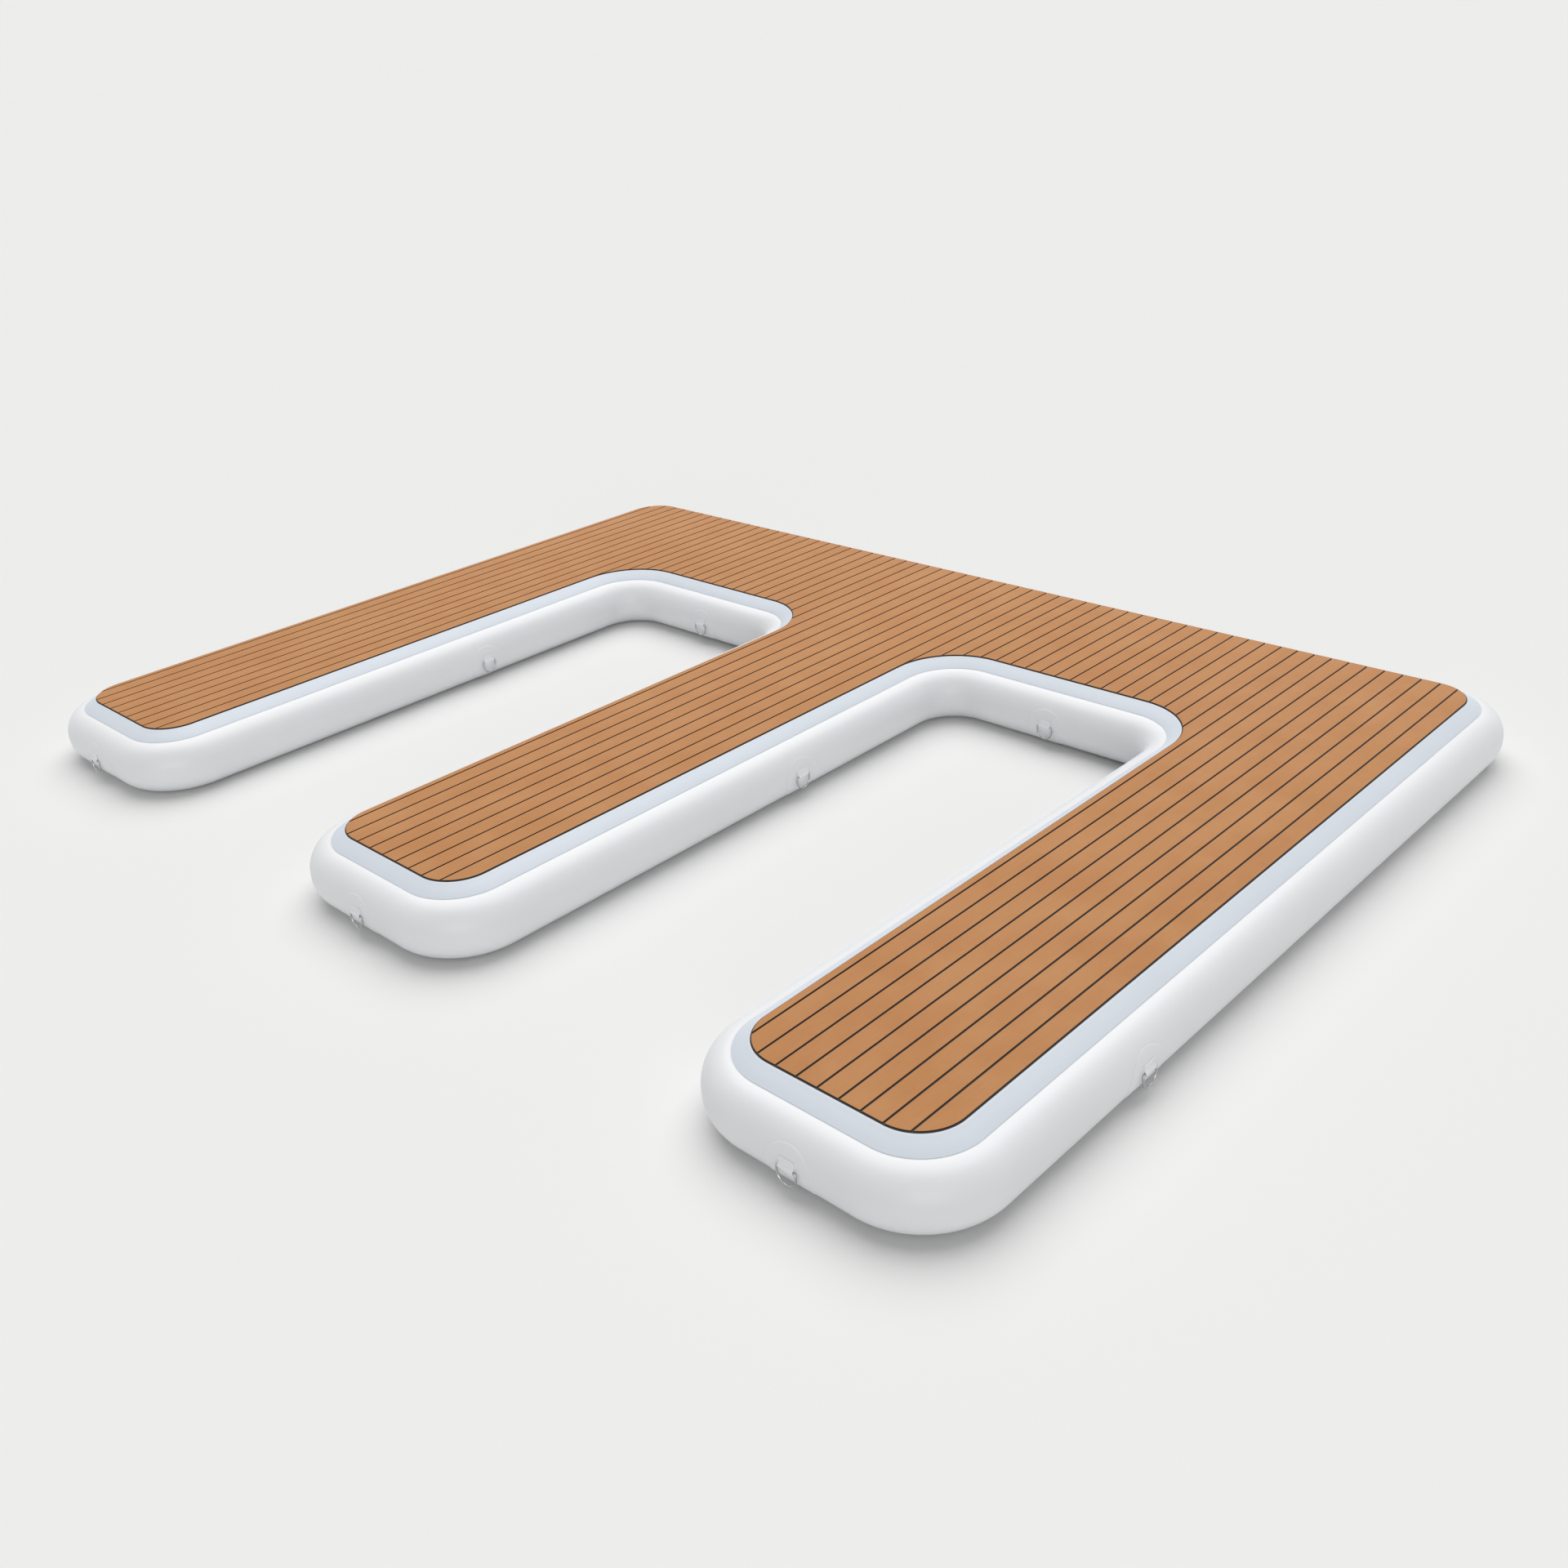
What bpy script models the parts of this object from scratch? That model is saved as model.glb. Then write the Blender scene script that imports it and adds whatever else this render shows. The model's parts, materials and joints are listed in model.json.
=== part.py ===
"""Inflatable dock for two personal watercraft.

An E-shaped drop-stitch float: a spine at the back and three fingers that reach forward, with an
open bay between each two. Its core is a cloth woven double, with yarns that hold the two faces a
fixed distance apart. A skin covers each face, and a bulged side wall closes the float all round.
Foam deck sheets are glued on top, D-rings hang from patches round the wall, and a push valve sits
in the back wall.

Metres, +Z up. The fingers point towards -Y, x = 0 is the middle, and z = 0 is the underside.
"""

import math

import bmesh
import bpy
from mathutils import Matrix, Vector

# Plan, measured over the widest line of the side wall.
OVERALL_WIDTH = 6.0
OVERALL_LENGTH = 4.44
BAY_WIDTH = 1.2
BAY_DEPTH = 3.12
MIDDLE_FINGER_WIDTH = 1.22
TIP_CORNER_RADIUS = 0.355
BAY_CORNER_RADIUS = 0.16
CORNER_STEPS = 6

# Float. The wall is half an ellipse in section, with a flat strip at mid height for what sits on it.
FLOAT_THICKNESS = 0.3
WALL_BULGE = 0.075
WALL_FLAT_HEIGHT = 0.065
WALL_STEPS = 3
FABRIC_THICKNESS = 0.0012
WALL_LAP = 0.03
WALL_STUB = 0.06
JOINT_TAPE_WIDTH = 0.06
CLOTH_THICKNESS = 0.0008
YARN_PITCH = 0.6
YARN_EDGE = 0.2
YARN_RADIUS = 0.0015
YARN_SIDES = 3

# What lies face to face keeps this much apart, and what is fused overlaps this much.
CLEARANCE = 0.0003
WELD_DEPTH = 0.0003
CUT_OVERRUN = 0.02

# Deck. Its sheets are two foams in one, and the grooves go down through the upper one.
DECK_BORDER = 0.1
DECK_BASE_THICKNESS = 0.002
PLANK_THICKNESS = 0.004
PLANK_PITCH = 0.089
FIRST_STRIP_WIDTH = 0.038
GROOVE_WIDTH = 0.007
DECK_REVEAL = 0.005

# Rings, and the round patches with a folded strap that hold them.
RING_WIDTH = 0.088
RING_HEIGHT = 0.07
RING_WIRE_RADIUS = 0.00375
RING_CORNER_RADIUS = 0.008
RING_RUNNING_GAP = 0.0004
RING_CORNER_STEPS = 2
RING_ARC_STEPS = 8
STRAP_WIDTH = 0.064
STRAP_THICKNESS = 0.0022
STRAP_ROOT_HEIGHT = 0.045
STRAP_CLOSE_HEIGHT = 0.022
STRAP_ARC_STEPS = 5
PATCH_RADIUS = 0.106
PATCH_THICKNESS = 0.0012
PATCH_SIDES = 24
BAY_RING_FROM_BACK = 1.1
SIDE_RING_FROM_FRONT = 1.106

# Valve, measured from the wall's outer face along its own axis.
VALVE_FROM_MIDDLE = 1.2
VALVE_SIDES = 16
FLANGE_RADIUS = 0.03
FLANGE_THICKNESS = 0.003
GASKET_THICKNESS = 0.0015
SLEEVE_RADIUS = 0.0225
SLEEVE_DEPTH = 0.032
BORE_RADIUS = 0.0195
VALVE_HOLE_GAP = 0.0005
NUT_RADIUS = 0.0295
NUT_THICKNESS = 0.009
NUT_NOTCH_RADIUS = 0.003
NUT_NOTCHES = 8
SEAT_RADIUS = 0.0135
SEAT_THICKNESS = 0.003
WEB_DEPTH = 0.018
WEB_THICKNESS = 0.0025
WINDOW_RADIUS = 0.0042
WINDOW_CIRCLE_RADIUS = 0.0125
WINDOWS = 6
WINDOW_SIDES = 8
STEM_RADIUS = 0.0035
STEM_GAP = 0.0004
BUTTON_RADIUS = 0.0075
BUTTON_THICKNESS = 0.003
BUTTON_DEPTH = 0.001
HEAD_RADIUS = 0.0175
HEAD_THICKNESS = 0.002
SEAL_THICKNESS = 0.002
SPRING_RADIUS = 0.0055
SPRING_WIRE_RADIUS = 0.0005
SPRING_TURNS = 4
SPRING_POINTS_PER_TURN = 9
CAP_RADIUS = 0.0265
CAP_THICKNESS = 0.003
CAP_SKIRT_GAP = 0.0005
CAP_SKIRT_WALL = 0.0025
CAP_SKIRT_DEPTH = 0.009
GRIP_LENGTH = 0.036
GRIP_WIDTH = 0.006
GRIP_HEIGHT = 0.0035

# Lines of the plan that follow from the sizes above.
LEFT, RIGHT = -OVERALL_WIDTH / 2, OVERALL_WIDTH / 2
FRONT, BACK = -OVERALL_LENGTH / 2, OVERALL_LENGTH / 2
BAY_BACK = FRONT + BAY_DEPTH
MIDDLE_LEFT, MIDDLE_RIGHT = -MIDDLE_FINGER_WIDTH / 2, MIDDLE_FINGER_WIDTH / 2
BAYS = (
    (MIDDLE_LEFT - BAY_WIDTH, MIDDLE_LEFT),
    (MIDDLE_RIGHT, MIDDLE_RIGHT + BAY_WIDTH),
)
FINGERS = ((LEFT, BAYS[0][0]), (MIDDLE_LEFT, MIDDLE_RIGHT), (BAYS[1][1], RIGHT))
FINGER_NAMES = ("left", "middle", "right")
BAY_NAMES = ("left", "right")

# The wall's pieces meet on the straight stretches, a stub past the outer corners.
TIP_EDGE_RADIUS = TIP_CORNER_RADIUS - WALL_BULGE
BAY_EDGE_RADIUS = BAY_CORNER_RADIUS + WALL_BULGE
FRONT_JOINT = FRONT + TIP_CORNER_RADIUS + WALL_STUB
BACK_JOINT = BACK - TIP_CORNER_RADIUS - WALL_STUB

# Levels and the wall's own section.
WALL_TOP = FLOAT_THICKNESS - FABRIC_THICKNESS - CLEARANCE
WALL_BOTTOM = FABRIC_THICKNESS + CLEARANCE
WALL_MIDDLE = (WALL_TOP + WALL_BOTTOM) / 2
WALL_HALF_HEIGHT = (WALL_TOP - WALL_BOTTOM) / 2
CORE_INSET = WALL_BULGE + WALL_LAP + FABRIC_THICKNESS
DECK_INSET = WALL_BULGE + DECK_BORDER
DECK_BOTTOM = FLOAT_THICKNESS + CLEARANCE
PLANK_BOTTOM = DECK_BOTTOM + DECK_BASE_THICKNESS
DECK_TOP = PLANK_BOTTOM + PLANK_THICKNESS

# A ring turns about its straight bar, which lies in the strap's fold at this height and distance.
RING_BAR_HEIGHT = WALL_MIDDLE - WALL_FLAT_HEIGHT / 2
STRAP_FOLD_RADIUS = RING_WIRE_RADIUS + RING_RUNNING_GAP
STRAP_BACK = STRAP_FOLD_RADIUS + STRAP_THICKNESS
RING_BAR_STANDOFF = CLEARANCE + PATCH_THICKNESS - WELD_DEPTH + STRAP_BACK


def clear_scene():
    for thing in list(bpy.data.objects):
        bpy.data.objects.remove(thing)


def new_collection(name):
    collection = bpy.data.collections.new(name)
    bpy.context.scene.collection.children.link(collection)
    return collection


def new_material(name, colour, roughness, metallic=0.0):
    finish = bpy.data.materials.new(name)
    finish.use_nodes = True
    shader = finish.node_tree.nodes["Principled BSDF"]
    shader.inputs["Base Color"].default_value = (*colour, 1.0)
    shader.inputs["Roughness"].default_value = roughness
    shader.inputs["Metallic"].default_value = metallic
    return finish


clear_scene()
PARTS = new_collection("inflatable_watercraft_dock")
CUTTERS = new_collection("cutters")
SKIN = new_material("skin", (0.68, 0.71, 0.77), 0.45)
WALL_FABRIC = new_material("wall_fabric", (0.82, 0.82, 0.84), 0.4)
WOVEN_CORE = new_material("woven_core", (0.85, 0.84, 0.8), 0.8)
BLACK_FOAM = new_material("black_foam", (0.02, 0.018, 0.017), 0.8)
TEAK_FOAM = new_material("teak_foam", (0.56, 0.27, 0.11), 0.75)
STEEL = new_material("polished_steel", (0.7, 0.7, 0.71), 0.15, 1.0)
VALVE_PLASTIC = new_material("valve_plastic", (0.72, 0.73, 0.75), 0.4)
SEAL_RUBBER = new_material("seal_rubber", (0.05, 0.05, 0.05), 0.7)


def add_part(name, data, finish):
    part = bpy.data.objects.new(name, data)
    if not data.materials:
        data.materials.append(finish)
    PARTS.objects.link(part)
    return part


def add_cutter(name, mesh, finish=None):
    """A helper for Booleans. Its finish goes on the faces that it cuts."""
    cutter = bpy.data.objects.new(name, mesh)
    if finish:
        mesh.materials.append(finish)
    cutter.hide_render = True
    cutter.display_type = "WIRE"
    CUTTERS.objects.link(cutter)
    return cutter


def boolean(part, cutter, operation="DIFFERENCE", solver="EXACT"):
    cut = part.modifiers.new(cutter.name, "BOOLEAN")
    cut.operation = operation
    cut.solver = solver
    cut.object = cutter
    return cut


def solidify(part, thickness, offset):
    """Gives an open surface its wall: offset -1 grows it against its normals, +1 along them."""
    wall = part.modifiers.new("wall", "SOLIDIFY")
    wall.thickness = thickness
    wall.offset = offset
    wall.use_even_offset = True


def mesh_from(bm, name):
    mesh = bpy.data.meshes.new(name)
    bm.to_mesh(mesh)
    bm.free()
    mesh.shade_smooth()
    mesh.set_sharp_from_angle(angle=math.radians(40))
    return mesh


def mesh_of(thing):
    """The object's evaluated mesh in world space, welded, with its flat faces whole. It is removed."""
    bpy.context.view_layer.update()
    graph = bpy.context.evaluated_depsgraph_get()
    mesh = bpy.data.meshes.new_from_object(thing.evaluated_get(graph))
    mesh.transform(thing.matrix_world)
    bpy.data.objects.remove(thing)
    bm = bmesh.new()
    bm.from_mesh(mesh)
    bmesh.ops.remove_doubles(bm, verts=bm.verts, dist=CLEARANCE / 10)
    bmesh.ops.dissolve_limit(bm, angle_limit=math.radians(0.1), verts=bm.verts, edges=bm.edges)
    bm.to_mesh(mesh)
    bm.free()
    return mesh


def add_box(bm, low, high):
    size = Vector(high) - Vector(low)
    middle = (Vector(high) + Vector(low)) / 2
    place = Matrix.Translation(middle) @ Matrix.Diagonal((*size, 1))
    bmesh.ops.create_cube(bm, size=1, matrix=place)


def add_cylinder(bm, sides, radius, low, high, place=(0, 0)):
    bmesh.ops.create_cone(
        bm,
        cap_ends=True,
        segments=sides,
        radius1=radius,
        radius2=radius,
        depth=high - low,
        matrix=Matrix.Translation((*place, (low + high) / 2)),
    )


def face_outwards(bm, face_key, direction):
    """Turns the surface's faces so that the one with the greatest key looks along direction."""
    bmesh.ops.recalc_face_normals(bm, faces=bm.faces)
    if max(bm.faces, key=face_key).normal.dot(direction) < 0:
        bmesh.ops.reverse_faces(bm, faces=bm.faces)


def corner_points(before, corner, after, inset):
    """The arc that rounds one corner of the plan. A left turn is a tip corner, a right turn a bay's."""
    ahead = (corner - before).normalized()
    onward = (after - corner).normalized()
    turn = 1 if ahead.cross(onward) > 0 else -1
    radius = TIP_CORNER_RADIUS - inset if turn > 0 else BAY_CORNER_RADIUS + inset
    centre = corner + radius * (onward - ahead)
    for step in range(CORNER_STEPS + 1):
        angle = math.pi / 2 * step / CORNER_STEPS
        yield centre + radius * (ahead * math.sin(angle) - onward * math.cos(angle))


def plan_outline(inset):
    """The E seen from above, counter-clockwise, with every edge moved in by inset."""
    front, back, bay_back = FRONT + inset, BACK - inset, BAY_BACK + inset
    (left, a), (b, c), (d, right) = [(low + inset, high - inset) for low, high in FINGERS]
    corners = [(left, front), (a, front), (a, bay_back), (b, bay_back), (b, front), (c, front)]
    corners += [(c, bay_back), (d, bay_back), (d, front), (right, front), (right, back), (left, back)]
    corners = [Vector(point) for point in corners]
    points = []
    for index, corner in enumerate(corners):
        after = corners[(index + 1) % len(corners)]
        points += corner_points(corners[index - 1], corner, after, inset)
    return points


def in_plan(x, y, inset):
    in_spine = BAY_BACK + inset < y < BACK - inset and LEFT + inset < x < RIGHT - inset
    in_finger = any(low + inset < x < high - inset for low, high in FINGERS)
    return in_spine or (in_finger and FRONT + inset < y < BACK - inset)


def add_sheet(name, inset, bottom, top, finish):
    """A flat sheet of the plan's outline, as a filled 2D curve."""
    curve = bpy.data.curves.new(name, "CURVE")
    curve.dimensions = "2D"
    curve.fill_mode = "BOTH"
    curve.extrude = (top - bottom) / 2
    points = plan_outline(inset)
    spline = curve.splines.new("POLY")
    spline.points.add(len(points) - 1)
    spline.use_cyclic_u = True
    for point, place in zip(spline.points, points):
        point.co = (*place, 0, 1)
    sheet = add_part(name, curve, finish)
    sheet.location.z = (top + bottom) / 2
    return sheet


def wall_section():
    """The wall's outer face from its top lap to its bottom lap, as (distance out, height).

    The distance is measured from the skins' edge. The ellipse is as wide as puts its flat strip
    at the full bulge, and its points lie at even angles above and below that strip.
    """
    first = math.asin(WALL_FLAT_HEIGHT / 2 / WALL_HALF_HEIGHT)
    half_width = WALL_BULGE / math.cos(first)
    angles = [first + (math.pi / 2 - first) * step / WALL_STEPS for step in range(WALL_STEPS + 1)]
    upper = [
        (half_width * math.cos(angle), WALL_MIDDLE + WALL_HALF_HEIGHT * math.sin(angle))
        for angle in reversed(angles)
    ]
    lower = [(out, 2 * WALL_MIDDLE - height) for out, height in reversed(upper)]
    return [(-WALL_LAP, WALL_TOP), *upper, *lower, (-WALL_LAP, WALL_BOTTOM)]


def offset_section(points, distance):
    """The same line moved outwards by distance, with each facet kept parallel to itself."""
    points = [Vector(point) for point in points]
    sides = [(after - before).normalized() for before, after in zip(points, points[1:])]
    sides = [Vector((-side.y, side.x)) for side in sides]
    moved = []
    for index, point in enumerate(points):
        before = sides[max(index - 1, 0)]
        after = sides[min(index, len(sides) - 1)]
        moved.append(tuple(point + distance * (before + after) / (1 + before.dot(after))))
    return moved


def sweep(bm, section, start, heading, moves):
    """Lays the section square to the heading, then carries it along straight runs and quarter turns.

    The section's first number points right of the heading. A run's size is its length, and a turn's
    size is its radius, about a centre on that side.
    """
    place = Vector((*start, 0))
    ahead = Vector((*heading, 0))
    right = Vector((ahead.y, -ahead.x, 0))
    verts = [bm.verts.new(place + right * out + Vector((0, 0, height))) for out, height in section]
    edges = [bm.edges.new(pair) for pair in zip(verts, verts[1:])]
    for kind, size in moves:
        if kind == "run":
            made = bmesh.ops.extrude_edge_only(bm, edges=edges)["geom"]
            verts = [item for item in made if isinstance(item, bmesh.types.BMVert)]
            bmesh.ops.translate(bm, verts=verts, vec=ahead * size)
            place = place + ahead * size
        else:
            side = 1 if kind == "left" else -1
            centre = place - right * size * side
            turned = bmesh.ops.spin(
                bm,
                geom=verts + edges,
                cent=centre,
                axis=(0, 0, 1),
                angle=side * math.pi / 2,
                steps=CORNER_STEPS,
            )
            made = turned["geom_last"]
            verts = [item for item in made if isinstance(item, bmesh.types.BMVert)]
            ahead, right = (-right, ahead) if side > 0 else (right, -ahead)
            place = centre + right * size * side
        edges = [
            item
            for item in made
            if isinstance(item, bmesh.types.BMEdge) and all(vert in verts for vert in item.verts)
        ]


def swept_part(name, section, route, finish, thickness, offset):
    """An object made of one section swept along one route, then given its thickness."""
    bm = bmesh.new()
    sweep(bm, section, *route)
    bmesh.ops.remove_doubles(bm, verts=bm.verts, dist=CLEARANCE / 10)
    face_outwards(bm, lambda face: face.calc_center_median().z, Vector((0, 0, 1)))
    part = add_part(name, mesh_from(bm, name), finish)
    solidify(part, thickness, offset)
    return part


def wall_routes():
    """The eight lengths of side wall, each as start, heading and moves along the skins' edge.

    Tips and the back turn the outer corners and end in a stub, where the straight lengths join on.
    """
    stub = ("run", WALL_STUB)
    corner = ("left", TIP_EDGE_RADIUS)
    routes = {}
    for name, (left, right) in zip(FINGER_NAMES, FINGERS):
        moves = [stub, corner, ("run", right - left - 2 * TIP_CORNER_RADIUS), corner, stub]
        routes["tip_wall_" + name] = ((left + WALL_BULGE, FRONT_JOINT), (0, -1), moves)
    moves = [stub, corner, ("run", OVERALL_WIDTH - 2 * TIP_CORNER_RADIUS), corner, stub]
    routes["back_wall"] = ((RIGHT - WALL_BULGE, BACK_JOINT), (0, 1), moves)
    side_run = [("run", BACK_JOINT - FRONT_JOINT - 2 * CLEARANCE)]
    routes["side_wall_right"] = ((RIGHT - WALL_BULGE, FRONT_JOINT + CLEARANCE), (0, 1), side_run)
    routes["side_wall_left"] = ((LEFT + WALL_BULGE, BACK_JOINT - CLEARANCE), (0, -1), side_run)
    along = ("run", BAY_BACK - BAY_CORNER_RADIUS - FRONT_JOINT - CLEARANCE)
    turn = ("right", BAY_EDGE_RADIUS)
    across = ("run", BAY_WIDTH - 2 * BAY_CORNER_RADIUS)
    for name, (left, right) in zip(BAY_NAMES, BAYS):
        start = (left - WALL_BULGE, FRONT_JOINT + CLEARANCE)
        routes["bay_wall_" + name] = (start, (0, 1), [along, turn, across, turn, along])
    return routes


def joint_tape_routes():
    """A short run inside the wall across each butt joint between two lengths."""
    half = JOINT_TAPE_WIDTH / 2
    run = [("run", JOINT_TAPE_WIDTH)]
    routes = {}
    for name, (left, right) in zip(FINGER_NAMES, FINGERS):
        routes[name + "_tip_left"] = ((left + WALL_BULGE, FRONT_JOINT + half), (0, -1), run)
        routes[name + "_tip_right"] = ((right - WALL_BULGE, FRONT_JOINT - half), (0, 1), run)
    routes["back_left"] = ((LEFT + WALL_BULGE, BACK_JOINT + half), (0, -1), run)
    routes["back_right"] = ((RIGHT - WALL_BULGE, BACK_JOINT - half), (0, 1), run)
    return routes


def add_float():
    add_sheet("bottom_skin", WALL_BULGE, 0, FABRIC_THICKNESS, SKIN)
    add_sheet("top_skin", WALL_BULGE, FLOAT_THICKNESS - FABRIC_THICKNESS, FLOAT_THICKNESS, SKIN)
    section = wall_section()
    walls = {
        name: swept_part(name, section, route, WALL_FABRIC, FABRIC_THICKNESS, -1)
        for name, route in wall_routes().items()
    }
    inner = offset_section(section[1:-1], -FABRIC_THICKNESS - CLEARANCE)[1:-1]
    for name, route in joint_tape_routes().items():
        swept_part("wall_joint_tape_" + name, inner, route, WALL_FABRIC, FABRIC_THICKNESS, -1)
    add_core()
    return walls


def add_core():
    """The double-woven cloth. Its yarns are far fewer and thicker than the real ones.

    Both bays end on one line of the plan, where the exact solver leaves slivers. So what is cut
    from the whole plan, or joined to it, takes the other solver.
    """
    bottom_cloth = WALL_BOTTOM + CLOTH_THICKNESS
    top_cloth = WALL_TOP - CLOTH_THICKNESS
    low, high = bottom_cloth - WELD_DEPTH, top_cloth + WELD_DEPTH
    columns = round((OVERALL_WIDTH - 2 * YARN_EDGE) / YARN_PITCH)
    rows = round((OVERALL_LENGTH - 2 * YARN_EDGE) / YARN_PITCH)
    bm = bmesh.new()
    for column in range(columns + 1):
        x = LEFT + YARN_EDGE + (OVERALL_WIDTH - 2 * YARN_EDGE) * column / columns
        for row in range(rows + 1):
            y = FRONT + YARN_EDGE + (OVERALL_LENGTH - 2 * YARN_EDGE) * row / rows
            if in_plan(x, y, YARN_EDGE - YARN_RADIUS):
                add_cylinder(bm, YARN_SIDES, YARN_RADIUS, low, high, (x, y))
    yarns = add_cutter("yarns", mesh_from(bm, "yarns"))
    upper = mesh_of(add_sheet("top_cloth", CORE_INSET, top_cloth, WALL_TOP, WOVEN_CORE))
    lower = mesh_of(add_sheet("bottom_cloth", CORE_INSET, WALL_BOTTOM, bottom_cloth, WOVEN_CORE))
    core = add_part("drop_stitch_core", lower, WOVEN_CORE)
    boolean(core, yarns, "UNION", "MANIFOLD")
    boolean(core, add_cutter("top_cloth", upper), "UNION", "MANIFOLD")


def spaced(low, high):
    """Lines from low to high, both included, about one plank apart."""
    count = max(round((high - low) / PLANK_PITCH), 1)
    return [low + (high - low) * step / count for step in range(count + 1)]


def plank_edges():
    """The groove lines that bound each sheet's planks, left to right.

    Every finger starts with one narrow strip and ends in a groove along its right edge. The plank
    that narrows into the next finger's strip belongs to that finger.
    """
    pads = [(low + DECK_INSET, high - DECK_INSET) for low, high in FINGERS]
    fingers = [spaced(left + FIRST_STRIP_WIDTH, right) for left, right in pads]
    bays = [spaced(before[-1], after[0]) for before, after in zip(fingers, fingers[1:])]
    return {
        "left_finger": [LEFT, *fingers[0]],
        "left_bay": bays[0][:-1],
        "middle_finger": [bays[0][-2], *fingers[1]],
        "right_bay": bays[1][:-1],
        "right_finger": [bays[1][-2], *fingers[2][:-1], RIGHT],
    }


def add_deck():
    """Foam sheets, each a length of black base with teak planks a groove apart fused on it."""
    base = mesh_of(add_sheet("deck_base", DECK_INSET, DECK_BOTTOM, PLANK_BOTTOM, BLACK_FOAM))
    plank_inset = DECK_INSET + DECK_REVEAL
    teak = mesh_of(add_sheet("teak", plank_inset, PLANK_BOTTOM - WELD_DEPTH, DECK_TOP, TEAK_FOAM))
    low_cut, high_cut = DECK_BOTTOM - CUT_OVERRUN, DECK_TOP + CUT_OVERRUN
    for group, edges in plank_edges().items():
        strips = bmesh.new()
        for left, right in zip(edges, edges[1:]):
            low = (left + GROOVE_WIDTH / 2, FRONT, low_cut)
            high = (right - GROOVE_WIDTH / 2, BACK, high_cut)
            add_box(strips, low, high)
        strips = add_cutter("strips_" + group, mesh_from(strips, "strips"), TEAK_FOAM)
        planks = add_cutter("planks_" + group, teak.copy())
        boolean(planks, strips, "INTERSECT", "MANIFOLD").material_mode = "TRANSFER"
        width = bmesh.new()
        low = (edges[0] + CLEARANCE / 2, FRONT, low_cut)
        high = (edges[-1] - CLEARANCE / 2, BACK, high_cut)
        add_box(width, low, high)
        width = add_cutter("width_" + group, mesh_from(width, "width"), BLACK_FOAM)
        sheet = add_part("deck_sheet_" + group, base.copy(), BLACK_FOAM)
        boolean(sheet, width, "INTERSECT", "MANIFOLD").material_mode = "TRANSFER"
        boolean(sheet, planks, "UNION").material_mode = "TRANSFER"


def ring_places():
    """Where each ring hangs on the wall: name to the point under its bar and the way it faces."""
    places = {}
    for name, (left, right) in zip(FINGER_NAMES, FINGERS):
        middle = (left + right) / 2
        places["tip_" + name] = ((middle, FRONT), (0, -1))
        places["back_" + name] = ((middle, BACK), (0, 1))
    y = BAY_BACK - BAY_RING_FROM_BACK
    for name, (left, right) in zip(BAY_NAMES, BAYS):
        places[name + "_bay_left"] = ((left, y), (1, 0))
        places[name + "_bay_back"] = (((left + right) / 2, BAY_BACK), (0, -1))
        places[name + "_bay_right"] = ((right, y), (-1, 0))
    y = FRONT + SIDE_RING_FROM_FRONT
    places["side_left"] = ((LEFT, y), (-1, 0))
    places["side_right"] = ((RIGHT, y), (1, 0))
    return places


def ring_curve():
    """A D of round wire: its straight bar on the X axis, its bow hanging down in -Z."""
    half_width = RING_WIDTH / 2 - RING_WIRE_RADIUS
    drop = RING_HEIGHT - 2 * RING_WIRE_RADIUS
    corner = RING_CORNER_RADIUS
    side = []
    for step in range(RING_CORNER_STEPS + 1):
        angle = math.pi / 2 * step / RING_CORNER_STEPS
        x = half_width - corner + corner * math.sin(angle)
        side.append((x, corner * math.cos(angle) - corner))
    bow = []
    for step in range(RING_ARC_STEPS + 1):
        angle = math.pi * step / RING_ARC_STEPS
        z = half_width - drop - half_width * math.sin(angle)
        bow.append((half_width * math.cos(angle), z))
    points = side + bow + [(-x, z) for x, z in reversed(side)]
    curve = bpy.data.curves.new("d_ring", "CURVE")
    curve.dimensions = "3D"
    curve.bevel_depth = RING_WIRE_RADIUS
    curve.bevel_resolution = 1
    spline = curve.splines.new("POLY")
    spline.points.add(len(points) - 1)
    spline.use_cyclic_u = True
    for point, (x, z) in zip(spline.points, points):
        point.co = (x, 0, z, 1)
    return curve


def add_strap():
    """The folded strap: down behind the bar, round under it and up in front, +Y being outwards.

    The fold ends where it is in line with the point at which the two layers meet above the bar.
    """
    radius = STRAP_FOLD_RADIUS
    meet = Vector((CLEARANCE - radius, STRAP_CLOSE_HEIGHT))
    end = math.atan2(meet.y, meet.x) - math.acos(radius / meet.length)
    points = [(-radius, STRAP_ROOT_HEIGHT)]
    for step in range(STRAP_ARC_STEPS + 1):
        angle = math.pi + (math.pi + end) * step / STRAP_ARC_STEPS
        points.append((radius * math.cos(angle), radius * math.sin(angle)))
    points += [tuple(meet), (meet.x, STRAP_ROOT_HEIGHT)]
    bm = bmesh.new()
    verts = [bm.verts.new((-STRAP_WIDTH / 2, out, height)) for out, height in points]
    edges = [bm.edges.new(pair) for pair in zip(verts, verts[1:])]
    made = bmesh.ops.extrude_edge_only(bm, edges=edges)["geom"]
    across = [item for item in made if isinstance(item, bmesh.types.BMVert)]
    bmesh.ops.translate(bm, verts=across, vec=(STRAP_WIDTH, 0, 0))
    face_outwards(bm, lambda face: -face.calc_center_median().z, Vector((0, 0, -1)))
    strap = add_part("strap", mesh_from(bm, "strap"), WALL_FABRIC)
    solidify(strap, STRAP_THICKNESS, 1)
    return strap


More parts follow.
